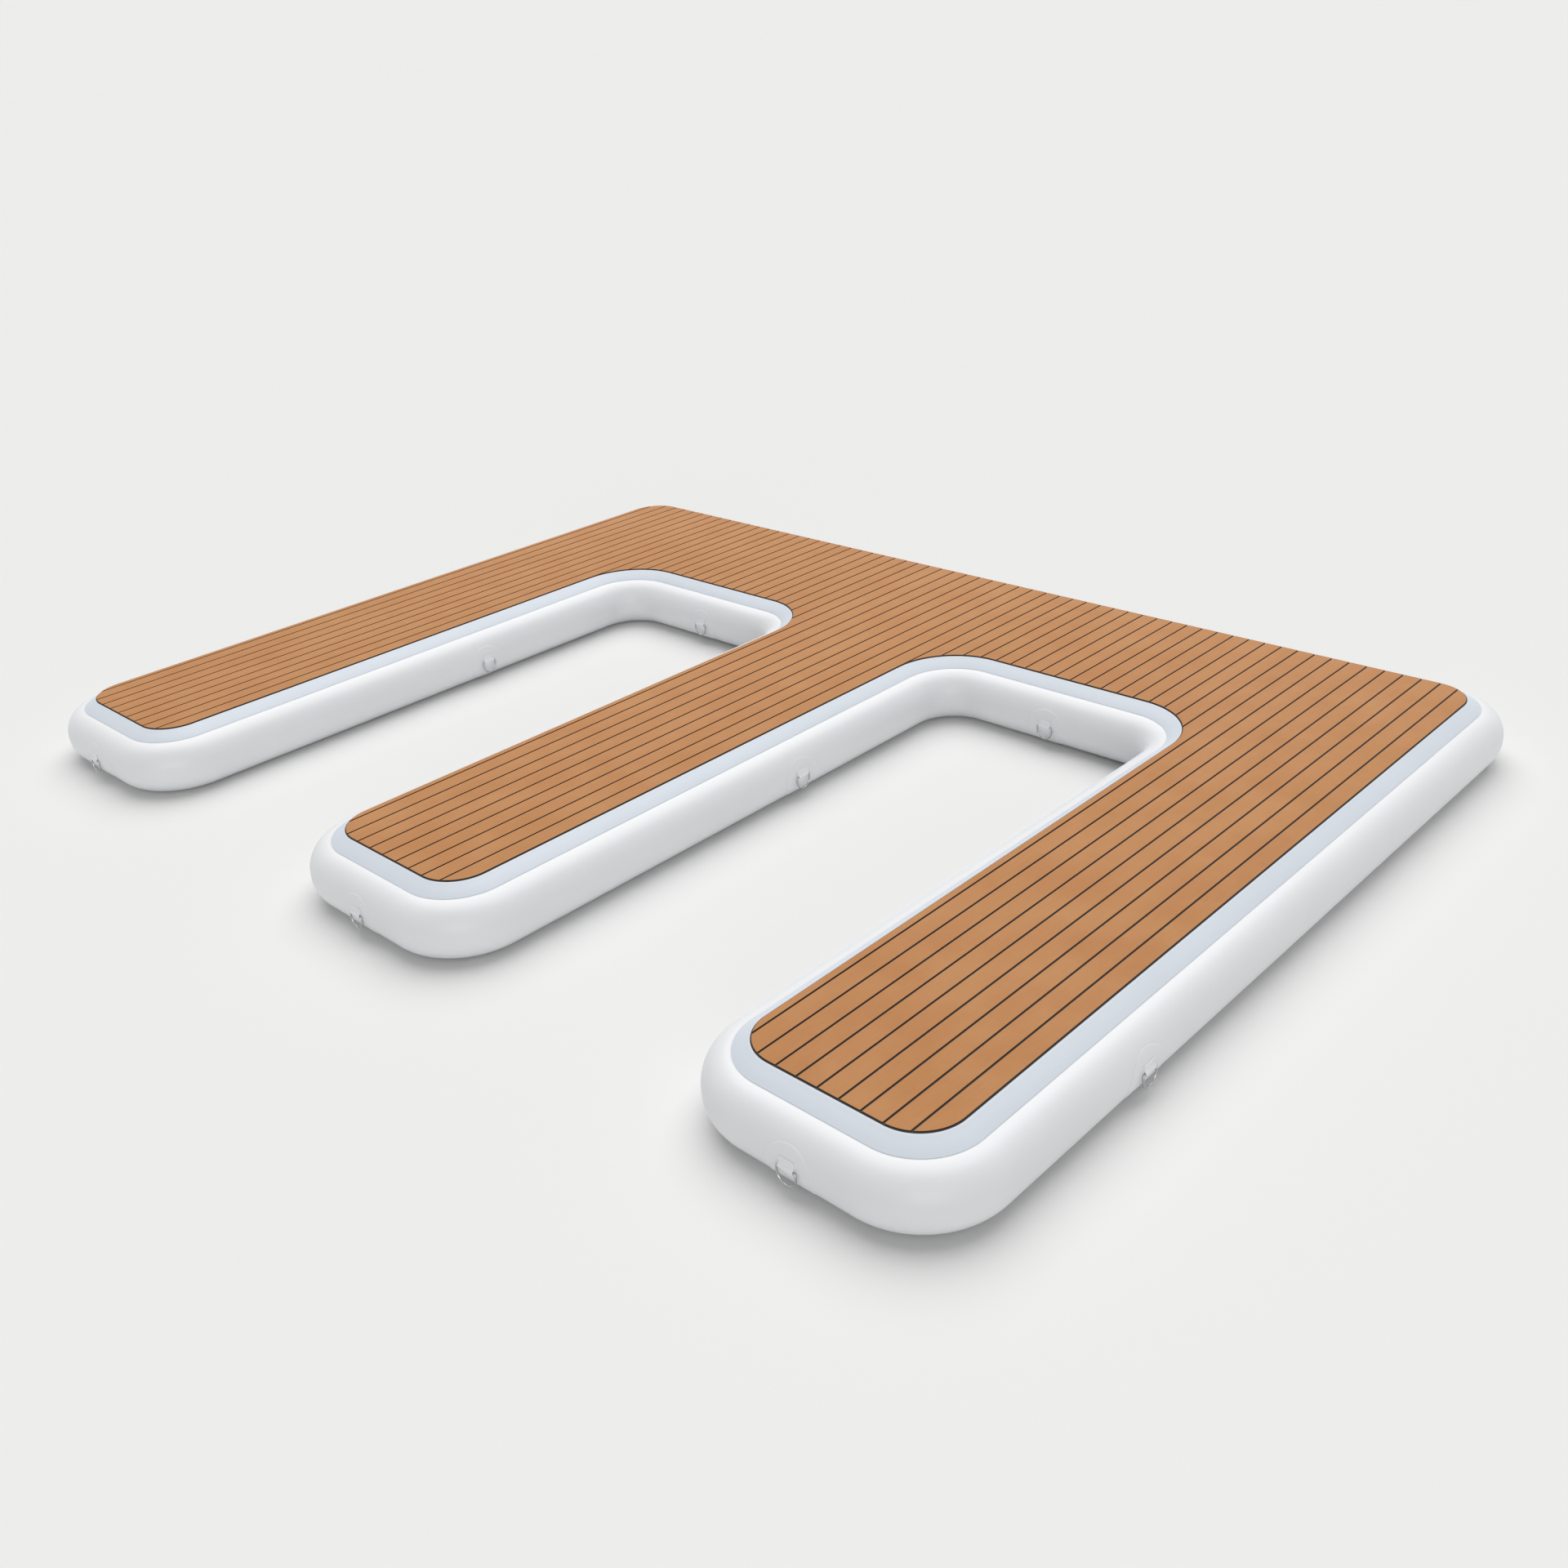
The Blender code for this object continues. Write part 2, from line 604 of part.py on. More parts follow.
def ring_patch_mesh():
    """A strip of the wall's section cut to a disc, with the strap fused on. The bar is at the origin."""
    half = PATCH_RADIUS + CUT_OVERRUN
    section = offset_section(wall_section()[1:-1], CLEARANCE)[1:-1]
    section = [(out, height - RING_BAR_HEIGHT) for out, height in section]
    route = ((half, -WALL_BULGE - RING_BAR_STANDOFF), (-1, 0), [("run", 2 * half)])
    patch = swept_part("patch", section, route, WALL_FABRIC, PATCH_THICKNESS, 1)
    disc = bmesh.new()
    add_cylinder(disc, PATCH_SIDES, PATCH_RADIUS, -WALL_BULGE - half, half)
    cutter = add_cutter("patch_disc", mesh_from(disc, "patch_disc"))
    cutter.rotation_euler.x = math.pi / 2
    boolean(patch, cutter, "INTERSECT")
    boolean(patch, add_cutter("strap", mesh_of(add_strap())), "UNION")
    return mesh_of(patch)


def add_rings():
    ring_shape = ring_curve()
    patch_shape = ring_patch_mesh()
    for name, ((x, y), (out_x, out_y)) in ring_places().items():
        ring = add_part("d_ring_" + name, ring_shape, STEEL)
        patch = add_part("ring_patch_" + name, patch_shape, WALL_FABRIC)
        for piece in (ring, patch):
            piece.location = (x + out_x * RING_BAR_STANDOFF, y + out_y * RING_BAR_STANDOFF, RING_BAR_HEIGHT)
            piece.rotation_euler.z = math.atan2(-out_x, out_y)


def turned(name, profile, finish, closed=False):
    """A turned piece about the valve's axis. The profile runs down its outer side, as (radius, height)."""
    bm = bmesh.new()
    verts = [bm.verts.new((radius, 0, height)) for radius, height in profile]
    for pair in zip(verts, verts[1:]):
        bm.edges.new(pair)
    if closed:
        bm.edges.new((verts[-1], verts[0]))
    part = add_part(name, mesh_from(bm, name), finish)
    screw = part.modifiers.new("turn", "SCREW")
    screw.steps = VALVE_SIDES
    screw.render_steps = VALVE_SIDES
    screw.use_merge_vertices = True
    screw.merge_threshold = CLEARANCE / 10
    part.parent = VALVE_AXIS
    return part


def ring_profile(inner, outer, low, high):
    return [(outer, high), (outer, low), (inner, low), (inner, high)]


def valve_cutter(name, bm):
    cutter = add_cutter(name, mesh_from(bm, name))
    cutter.parent = VALVE_AXIS
    return cutter


def circle_of_cutters(name, count, circle_radius, radius, low, high):
    bm = bmesh.new()
    for index in range(count):
        angle = 2 * math.pi * index / count
        place = (circle_radius * math.cos(angle), circle_radius * math.sin(angle))
        add_cylinder(bm, WINDOW_SIDES, radius, low, high, place)
    return valve_cutter(name, bm)


def add_valve_axis():
    """An empty on the back wall's outer face, with its own +Z pointing out along the valve."""
    axis = bpy.data.objects.new("valve_axis", None)
    axis.location = (VALVE_FROM_MIDDLE, BACK, WALL_MIDDLE)
    axis.rotation_euler.x = -math.pi / 2
    PARTS.objects.link(axis)
    return axis


def add_valve(back_wall):
    flange_bottom = CLEARANCE + GASKET_THICKNESS + CLEARANCE
    flange_top = flange_bottom + FLANGE_THICKNESS
    add_valve_body(flange_bottom, flange_top)
    hole_radius = SLEEVE_RADIUS + VALVE_HOLE_GAP
    gasket = ring_profile(hole_radius, FLANGE_RADIUS, CLEARANCE, CLEARANCE + GASKET_THICKNESS)
    turned("valve_gasket", gasket, SEAL_RUBBER, closed=True)
    hole = bmesh.new()
    add_cylinder(hole, VALVE_SIDES, hole_radius, -CUT_OVERRUN, CUT_OVERRUN)
    boolean(back_wall, valve_cutter("valve_hole", hole))
    add_valve_nut()
    add_plunger()
    add_cap(flange_top)


def add_valve_body(flange_bottom, flange_top):
    """Flange, sleeve, the seat at its inner end and a web across the bore that guides the stem."""
    web_top, web_bottom = -WEB_DEPTH, -WEB_DEPTH - WEB_THICKNESS
    hub_bore = STEM_RADIUS + STEM_GAP
    profile = [
        (FLANGE_RADIUS, flange_top),
        (FLANGE_RADIUS, flange_bottom),
        (SLEEVE_RADIUS, flange_bottom),
        (SLEEVE_RADIUS, -SLEEVE_DEPTH),
        (SEAT_RADIUS, -SLEEVE_DEPTH),
        (SEAT_RADIUS, SEAT_THICKNESS - SLEEVE_DEPTH),
        (BORE_RADIUS, SEAT_THICKNESS - SLEEVE_DEPTH),
        (BORE_RADIUS, web_bottom),
        (hub_bore, web_bottom),
        (hub_bore, web_top),
        (BORE_RADIUS, web_top),
        (BORE_RADIUS, flange_top),
    ]
    body = turned("valve_body", profile, VALVE_PLASTIC, closed=True)
    low, high = web_bottom - WEB_THICKNESS, web_top + WEB_THICKNESS
    boolean(body, circle_of_cutters("windows", WINDOWS, WINDOW_CIRCLE_RADIUS, WINDOW_RADIUS, low, high))


def add_valve_nut():
    """The ring nut that clamps the wall from inside the float, notched round its rim for grip."""
    top = -FABRIC_THICKNESS - CLEARANCE
    bottom = top - NUT_THICKNESS
    inner = SLEEVE_RADIUS + CLEARANCE
    nut = turned("valve_nut", ring_profile(inner, NUT_RADIUS, bottom, top), VALVE_PLASTIC, closed=True)
    low, high = bottom - CUT_OVERRUN, top - FABRIC_THICKNESS
    boolean(nut, circle_of_cutters("notches", NUT_NOTCHES, NUT_RADIUS, NUT_NOTCH_RADIUS, low, high))


def add_plunger():
    """Button, stem and head in one piece, a seal on the head, and the spring that lifts the button."""
    seal_top = -SLEEVE_DEPTH - CLEARANCE
    seal_bottom = seal_top - SEAL_THICKNESS
    head_top = seal_bottom - CLEARANCE
    head_bottom = head_top - HEAD_THICKNESS
    button_top = -BUTTON_DEPTH
    button_bottom = button_top - BUTTON_THICKNESS
    profile = [
        (0, button_top),
        (BUTTON_RADIUS, button_top),
        (BUTTON_RADIUS, button_bottom),
        (STEM_RADIUS, button_bottom),
        (STEM_RADIUS, head_top),
        (HEAD_RADIUS, head_top),
        (HEAD_RADIUS, head_bottom),
        (0, head_bottom),
    ]
    turned("valve_plunger", profile, VALVE_PLASTIC)
    inner = STEM_RADIUS + CLEARANCE
    seal = ring_profile(inner, HEAD_RADIUS, seal_bottom, seal_top)
    turned("valve_seal", seal, SEAL_RUBBER, closed=True)
    low = -WEB_DEPTH + CLEARANCE + SPRING_WIRE_RADIUS
    high = button_bottom - CLEARANCE - SPRING_WIRE_RADIUS
    add_spring(low, high)


def add_spring(low, high):
    count = SPRING_TURNS * SPRING_POINTS_PER_TURN
    points = []
    for index in range(count + 1):
        angle = 2 * math.pi * index / SPRING_POINTS_PER_TURN
        height = low + (high - low) * index / count
        points.append(Vector((SPRING_RADIUS * math.cos(angle), SPRING_RADIUS * math.sin(angle), height)))
    curve = bpy.data.curves.new("valve_spring", "CURVE")
    curve.dimensions = "3D"
    curve.bevel_depth = SPRING_WIRE_RADIUS
    curve.bevel_resolution = 1
    curve.use_fill_caps = True
    spline = curve.splines.new("POLY")
    spline.points.add(count)
    for point, place in zip(spline.points, points):
        point.co = (*place, 1)
    add_part("valve_spring", curve, STEEL).parent = VALVE_AXIS
    half_turn = SPRING_POINTS_PER_TURN // 2
    centres = min(
        (points[later] - points[index]).length
        for index in range(count + 1)
        for later in range(index + half_turn, count + 1)
    )
    gap = centres - 2 * SPRING_WIRE_RADIUS
    print("least gap of the valve spring to itself, in mm:", round(1000 * gap, 2))


def add_cap(flange_top):
    """A cap that drops into the bore and locks with a part turn, with a bar on top to grip."""
    bottom = flange_top + CLEARANCE
    top = bottom + CAP_THICKNESS
    skirt = BORE_RADIUS - CAP_SKIRT_GAP
    skirt_end = flange_top - CAP_SKIRT_DEPTH
    profile = [
        (0, top),
        (CAP_RADIUS, top),
        (CAP_RADIUS, bottom),
        (skirt, bottom),
        (skirt, skirt_end),
        (skirt - CAP_SKIRT_WALL, skirt_end),
        (skirt - CAP_SKIRT_WALL, bottom),
        (0, bottom),
    ]
    cap = turned("valve_cap", profile, VALVE_PLASTIC)
    grip = bmesh.new()
    low = (-GRIP_LENGTH / 2, -GRIP_WIDTH / 2, bottom + CAP_THICKNESS / 2)
    high = (GRIP_LENGTH / 2, GRIP_WIDTH / 2, top + GRIP_HEIGHT)
    add_box(grip, low, high)
    boolean(cap, valve_cutter("cap_grip", grip), "UNION")


VALVE_AXIS = add_valve_axis()
WALLS = add_float()
add_deck()
add_rings()
add_valve(WALLS["back_wall"])
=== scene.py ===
# %% [markdown]
# # An inflatable dock for two personal watercraft
#
# The dock is an E of drop-stitch fabric, blown hard: a spine at the back, three fingers in front,
# and a bay between each two. A planked foam deck is glued on top, and D-rings hang round its wall.
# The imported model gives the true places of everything. This script builds the surfaces that the
# eye sees, each at the place that the model gives it.

# %% Load the frame
import json
import math

import bpy
import numpy as np
from mathutils import Matrix, Vector


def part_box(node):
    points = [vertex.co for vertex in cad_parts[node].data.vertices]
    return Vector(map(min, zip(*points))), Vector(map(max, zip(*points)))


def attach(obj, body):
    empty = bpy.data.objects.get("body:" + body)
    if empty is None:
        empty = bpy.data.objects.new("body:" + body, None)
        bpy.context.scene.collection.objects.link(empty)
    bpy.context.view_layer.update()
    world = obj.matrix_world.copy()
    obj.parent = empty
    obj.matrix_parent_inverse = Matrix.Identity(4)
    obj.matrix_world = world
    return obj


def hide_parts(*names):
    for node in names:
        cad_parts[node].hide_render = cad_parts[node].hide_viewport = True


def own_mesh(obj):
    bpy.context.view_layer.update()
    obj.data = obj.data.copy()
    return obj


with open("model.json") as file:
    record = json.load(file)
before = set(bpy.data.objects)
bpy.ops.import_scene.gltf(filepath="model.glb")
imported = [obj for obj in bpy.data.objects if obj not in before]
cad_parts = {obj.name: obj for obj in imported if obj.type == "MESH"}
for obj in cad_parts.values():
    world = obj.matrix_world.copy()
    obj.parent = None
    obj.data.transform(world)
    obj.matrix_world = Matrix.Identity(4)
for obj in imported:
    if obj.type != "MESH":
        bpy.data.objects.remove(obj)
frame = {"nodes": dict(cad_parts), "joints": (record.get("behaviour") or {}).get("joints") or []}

JOINTS = {joint["name"]: joint for joint in frame["joints"]}
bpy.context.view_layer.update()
print("nodes in the frame:", len(frame["nodes"]), "and joints:", len(JOINTS))

# %% [markdown]
# ## Sizes, read from the frame
#
# The plan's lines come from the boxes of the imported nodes, so that nothing here has to be fitted
# afterwards. A tip wall's box is as wide as its finger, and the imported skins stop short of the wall's
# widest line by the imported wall's bulge. Only the corner radii and thicknesses have to be said again.
# All lengths are in metres.
#
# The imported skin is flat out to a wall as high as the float. The real one turns down past the yarns
# into a shoulder, and its wall starts lower and bulges further. So the wall, the upper skin, the core
# and the joint tapes are all made here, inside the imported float's outline.

# %% Sizes of the float
TIP_CORNER_RADIUS = 0.355
BAY_CORNER_RADIUS = 0.16
CLEARANCE = 0.0003
FABRIC_THICKNESS = 0.0012
WALL_BULGE = 0.11
SHOULDER_WIDTH = 0.061
SHOULDER_DROP = 0.04
SHOULDER_SLOPE = math.atan2(SHOULDER_DROP, SHOULDER_WIDTH)
WALL_LAP = 0.03
WALL_FLAT_HEIGHT = 0.03
NAMES = ("left", "middle", "right")
BAY_NAMES = ("left", "right")

FINGERS = [(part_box("tip_wall_" + name)[0].x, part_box("tip_wall_" + name)[1].x) for name in NAMES]
LEFT, RIGHT = FINGERS[0][0], FINGERS[-1][1]
FRONT, FRONT_JOINT = (corner.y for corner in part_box("tip_wall_left"))
BACK_JOINT, BACK = (corner.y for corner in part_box("back_wall"))
FLOAT_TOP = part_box("top_skin")[1].z
SKIN_EDGE_HEIGHT = FLOAT_TOP - SHOULDER_DROP
WALL_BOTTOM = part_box("side_wall_right")[0].z
WALL_TOP = SKIN_EDGE_HEIGHT - (FABRIC_THICKNESS + CLEARANCE) / math.cos(SHOULDER_SLOPE)
PACKED_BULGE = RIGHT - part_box("top_skin")[1].x
BAYS = [(FINGERS[0][1], FINGERS[1][0]), (FINGERS[1][1], FINGERS[2][0])]
BAY_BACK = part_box("bay_wall_left")[1].y - PACKED_BULGE - WALL_LAP
WALL_MIDDLE = (WALL_BOTTOM + WALL_TOP) / 2
WALL_HALF_HEIGHT = (WALL_TOP - WALL_BOTTOM) / 2
print(f"dock {RIGHT - LEFT:.3f} by {BACK - FRONT:.3f} m, bays from x = {BAYS[0][0]:.3f} and {BAYS[1][0]:.3f}")

# %% [markdown]
# ## Surfaces from arrays
#
# Every new piece is a grid of points, worked out at once with numpy. A grid's quads join each point
# to the next along both its directions. A grid can close on itself either way, as round a ring.
# A few closed outlines, such as the flat top of a plank, are filled with one many-sided face.

# %% Helpers for meshes
SHARP_ANGLE = 35
SAME_PLACE = 1e-6


def unit(vectors):
    """Each row divided by its own length."""
    return vectors / np.linalg.norm(vectors, axis=1)[:, None]


def tangents(line):
    """Unit vectors along an open line, one at each of its points."""
    return unit(np.gradient(line, axis=0))


def to_right(ahead):
    """Each (x, y) turned a quarter to its right, which gives (y, -x)."""
    return np.stack([ahead[:, 1], -ahead[:, 0]], axis=1)


def eased(share):
    """0 to 1 with a soft start and a soft end: s^2 (3 - 2s)."""
    return share * share * (3 - 2 * share)


def all_round(steps):
    """Angles of one whole turn, without the last, which is the first again."""
    return np.linspace(0, 2 * math.pi, steps, endpoint=False)


def grid_quads(rows, columns, close_rows=False, close_columns=False):
    """Quads of a grid of points stored row by row: (i, j), (i + 1, j), (i + 1, j + 1), (i, j + 1)."""
    i = np.arange(rows if close_rows else rows - 1)[:, None]
    j = np.arange(columns if close_columns else columns - 1)[None, :]
    i_next, j_next = (i + 1) % rows, (j + 1) % columns
    corners = [i * columns + j, i_next * columns + j, i_next * columns + j_next, i * columns + j_next]
    return np.stack(corners, axis=-1).reshape(-1, 4)


def six_volumes(points, faces):
    """Six times the volume inside: the sum of a . (b x c) over the triangles that fan out of each face."""
    total = 0.0
    for group in faces:
        corners = points[group]
        total += np.sum(corners[:, :1] * np.cross(corners[:, 1:-1], corners[:, 2:]))
    return total


def solid(points, faces, tint=0):
    """One closed body with its faces turned outwards. tint is the number of its material, or one number for
    each group of faces."""
    points = np.asarray(points, float).reshape(-1, 3)
    if six_volumes(points, faces) < 0:
        faces = [group[:, ::-1] for group in faces]
    return points, faces, tint if isinstance(tint, tuple) else (tint,) * len(faces)


def new_object(name, data):
    """An object that shows the data, linked into the scene."""
    made = bpy.data.objects.new(name, data)
    bpy.context.scene.collection.objects.link(made)
    return made


def new_mesh_object(name, points, faces):
    mesh = bpy.data.meshes.new(name)
    mesh.from_pydata(points, [], faces)
    return new_object(name, mesh)


def add_piece(name, solids, materials, body, nodes):
    """One mesh object from closed bodies, with its quads smooth and its many-sided faces flat. It rides on
    its body and stands for the CAD nodes given."""
    points, faces, tints, start = [], [], [], 0
    for body_points, body_faces, body_tints in solids:
        points.append(body_points)
        for group, tint in zip(body_faces, body_tints):
            faces += (group + start).tolist()
            tints += [tint] * len(group)
        start += len(body_points)
    made = new_mesh_object(name, np.concatenate(points).tolist(), faces)
    mesh = made.data
    for material in materials:
        mesh.materials.append(material)
    mesh.polygons.foreach_set("material_index", tints)
    mesh.polygons.foreach_set("use_smooth", [len(face) == 4 for face in faces])
    mesh.set_sharp_from_angle(angle=math.radians(SHARP_ANGLE))
    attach(made, body)
    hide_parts(*nodes)
    print(name, "has", len(faces), "faces")
    return made


# %% [markdown]
# ## Materials
#
# Colours are written as on a colour card, in sRGB hex, and one function turns them to the linear
# values that light adds up in. The others each add one node and give its output, so a material reads
# as a short list of what its pattern is made from.

# %% Helpers for materials
MM = 0.001
PLASTIC_IOR = 1.5


def linear(hex_colour):
    """sRGB to linear: v / 12.92 up to 0.04045, and ((v + 0.055) / 1.055)^2.4 above that."""
    srgb = np.array([int(hex_colour[i:i + 2], 16) for i in (1, 3, 5)]) / 255
    return (*np.where(srgb <= 0.04045, srgb / 12.92, ((srgb + 0.055) / 1.055) ** 2.4), 1.0)


def set_sockets(tree, node, **inputs):
    """A value sets a socket, and an output is linked to it. A _ in a name is a space, and _6 is number 6."""
    for name, value in inputs.items():
        socket = node.inputs[int(name[1:])] if name[1:].isdigit() else node.inputs[name.replace("_", " ")]
        if isinstance(value, bpy.types.NodeSocket):
            tree.links.new(value, socket)
        else:
            socket.default_value = value


def add_node(tree, kind, output, settings=None, **inputs):
    """Adds a node, fills its settings and sockets, and gives its output of that name or number."""
    node = tree.nodes.new(kind)
    for name, value in (settings or {}).items():
        setattr(node, name, value)
    set_sockets(tree, node, **inputs)
    return node.outputs[output]


def calculated(tree, operation, first, second, **third):
    return add_node(tree, "ShaderNodeMath", "Value", {"operation": operation}, _0=first, _1=second, **third)


def noise(tree, place, size, detail, **more):
    """A cloudy value from 0 to 1, in patches of about this size."""
    return add_node(tree, "ShaderNodeTexNoise", "Fac", Vector=place, Scale=1 / size, Detail=detail, **more)


def mapped(tree, value, **limits):
    """The value, with From_Min to From_Max spread over To_Min to To_Max. A pair not given is 0 and 1."""
    return add_node(tree, "ShaderNodeMapRange", "Result", Value=value, **limits)


def blend(tree, share, first, second):
    return add_node(tree, "ShaderNodeMix", 2, {"data_type": "RGBA"}, _0=share, _6=first, _7=second)


def bump(tree, height, depth, strength):
    return add_node(tree, "ShaderNodeBump", "Normal", Height=height, Distance=depth, Strength=strength)


def new_material(name, roughness, metallic=0.0):
    """A material with its shader set to plain values, ready for its pattern."""
    material = bpy.data.materials.new(name)
    material.use_nodes = True
    tree = material.node_tree
    shader = tree.nodes["Principled BSDF"]
    set_sockets(tree, shader, Roughness=roughness, Metallic=metallic, IOR=PLASTIC_IOR)
    print("material:", name)
    return material, tree, shader


# %% [markdown]
# ### PVC-coated polyester, calendered and glued
#
# The float's fabric is polyester cloth with soft PVC rolled on both faces. The weave shows through
# the coating as a faint grid, a thread about every 1.1 mm, and the coating's satin shine varies a
# little from place to place. The skins are a pale blue-grey, and the wall is white.

# %% Coated fabric
THREAD_SPACING = 1.1 * MM
WAVE_SCALE = math.pi / 10 / THREAD_SPACING
WEAVE_DEPTH = 0.04 * MM
WEAVE_STRENGTH = 0.6
FABRIC_CLOUD_SIZE = 400 * MM
SHINE_SPREAD = 0.05


def coated_fabric(name, light, dark, roughness, weave_depth=WEAVE_DEPTH):
    """Clouds in the tone and the shine, and a weave: the product of three waves, which a wave texture
    repeats every pi / 10 / scale."""
    material, tree, shader = new_material(name, roughness)
    place = add_node(tree, "ShaderNodeTexCoord", "Object")
    cloud = noise(tree, place, FABRIC_CLOUD_SIZE, 3.0)
    weave = 1.0
    for direction in ("X", "Y", "Z"):
        threads = add_node(tree, "ShaderNodeTexWave", "Fac", {"bands_direction": direction}, Vector=place,
                           Scale=WAVE_SCALE)
        weave = calculated(tree, "MULTIPLY", weave, threads)
    set_sockets(tree, shader, Base_Color=blend(tree, cloud, linear(dark), linear(light)),
                Roughness=mapped(tree, cloud, To_Min=roughness - SHINE_SPREAD,
                                 To_Max=roughness + SHINE_SPREAD),
                Normal=bump(tree, weave, weave_depth, WEAVE_STRENGTH))
    return material


SKIN_FABRIC = coated_fabric("calendered PVC skin fabric", "#DFE5ED", "#D6DDE6", 0.42)
WALL_FABRIC = coated_fabric("calendered PVC wall fabric", "#EEEFF1", "#E8E9EC", 0.38)
STRAP_FABRIC = coated_fabric("coated strap webbing", "#F2F2F5", "#ECECF1", 0.5, weave_depth=0.15 * MM)

# %% [markdown]
# ### EVA foam, sliced, brushed and routed
#
# The deck is closed-cell EVA foam in two colours, one bonded on the other. Its teak face is brushed
# along the planks, which leaves fine streaks, and the cut cells show as pin holes. A router has cut
# the grooves through the teak layer, so the black one shows.

# %% Foam
STREAK_WIDTH = 1.6 * MM
STREAK_LENGTH = 90 * MM
PORE_SIZE = 1.2 * MM
STREAK_RANGE = {"From_Min": 0.35, "From_Max": 0.7, "To_Max": 0.22}
MOTTLE_SIZE = 220 * MM
MOTTLE_RANGE = {"From_Min": 0.3, "From_Max": 0.7}
MOTTLE_ROUGHNESS = 0.55
FOAM_ROUGHNESS = 0.72
FOAM_DEPTH, FOAM_STRENGTH, STREAK_TO_PORE = 0.2 * MM, 0.7, 1.5


def brushed_foam(name, light, middle, dark):
    """A mottled tone with darker streaks along Y, and a relief of streaks and pores."""
    material, tree, shader = new_material(name, FOAM_ROUGHNESS)
    place = add_node(tree, "ShaderNodeTexCoord", "Object")
    along = add_node(tree, "ShaderNodeMapping", "Vector", Vector=place,
                     Scale=(1 / STREAK_WIDTH, 1 / STREAK_LENGTH, 1 / STREAK_WIDTH))
    streaks = noise(tree, along, 1.0, 3.0)
    mottle = noise(tree, place, MOTTLE_SIZE, 4.0, Roughness=MOTTLE_ROUGHNESS)
    tone = blend(tree, mapped(tree, mottle, **MOTTLE_RANGE), linear(middle), linear(light))
    pores = add_node(tree, "ShaderNodeTexVoronoi", "Distance", Vector=place, Scale=1 / PORE_SIZE)
    relief = calculated(tree, "MULTIPLY_ADD", streaks, STREAK_TO_PORE, _2=pores)
    grain = mapped(tree, streaks, **STREAK_RANGE)
    set_sockets(tree, shader, Base_Color=blend(tree, grain, tone, linear(dark)),
                Normal=bump(tree, relief, FOAM_DEPTH, FOAM_STRENGTH))
    return material


TEAK_FOAM = brushed_foam("brushed EVA foam teak", "#BF8650", "#B77B43", "#9D6432")
BLACK_FOAM = brushed_foam("routed EVA foam black", "#140E0D", "#0F0A09", "#080606")

# %% [markdown]
# ### Stainless steel, drawn and polished
#
# The rings are drawn round wire of stainless steel, bent, welded and tumbled bright. Fine scratches
# from tumbling spread the shine a little.

# %% Steel
SCRATCH_SIZE = 3 * MM
BRIGHTEST, DULLEST = 0.05, 0.16


def polished_steel():
    material, tree, shader = new_material("polished stainless steel", DULLEST, metallic=1.0)
    place = add_node(tree, "ShaderNodeTexCoord", "Object")
    shine = mapped(tree, noise(tree, place, SCRATCH_SIZE, 4.0), To_Min=BRIGHTEST, To_Max=DULLEST)
    set_sockets(tree, shader, Base_Color=linear("#B6B6B8"), Roughness=shine)
    return material


STEEL = polished_steel()

# %% [markdown]
# ### Nylon and rubber of the valve, moulded
#
# The valve is moulded glass-filled nylon with a fine spark texture. Its seals are black EPDM rubber.
# The core's undyed cloth, which nobody sees, is the coated fabric again with a deeper weave.

# %% Valve materials
SPARK_SIZE = 0.6 * MM
SPARK_STRENGTH = 0.5
SPARK_LIGHT = 1.06


def moulded(name, colour, roughness, depth):
    """Specks a little lighter than the colour, which also stand out by the depth."""
    material, tree, shader = new_material(name, roughness)
    spark = noise(tree, add_node(tree, "ShaderNodeTexCoord", "Object"), SPARK_SIZE, 2.0)
    lighter = [min(1.0, SPARK_LIGHT * value) for value in linear(colour)]
    set_sockets(tree, shader, Base_Color=blend(tree, spark, linear(colour), lighter),
                Normal=bump(tree, spark, depth, SPARK_STRENGTH))
    return material


VALVE_NYLON = moulded("spark-textured nylon", "#D3D6DA", 0.45, 0.03 * MM)
SEAL_RUBBER = moulded("moulded EPDM rubber", "#1B1B1C", 0.65, 0.02 * MM)
CORE_CLOTH = coated_fabric("undyed woven polyester", "#E7E3D8", "#DAD6CA", 0.85, weave_depth=0.3 * MM)

# %% [markdown]
# ## The plan, as a route
#
# Everything on this dock follows one line: the edge of the skins, seen from above. A route is a start,
# a heading and a list of legs, each a straight run or a quarter turn. It gives points and, at each,
# the unit vector that points out of the dock, to the right of the way the route goes. Whatever lies
# further out or in is those points moved along those vectors, which keeps round corners round.

# %% Routes
RUN_STEP = 0.05
CORNER_STEPS = 24
TIP_STRAIGHT = FRONT_JOINT - FRONT - TIP_CORNER_RADIUS
BAY_STRAIGHT = BAY_BACK - BAY_CORNER_RADIUS - FRONT_JOINT
BACK_STRAIGHT = BACK - TIP_CORNER_RADIUS - BACK_JOINT


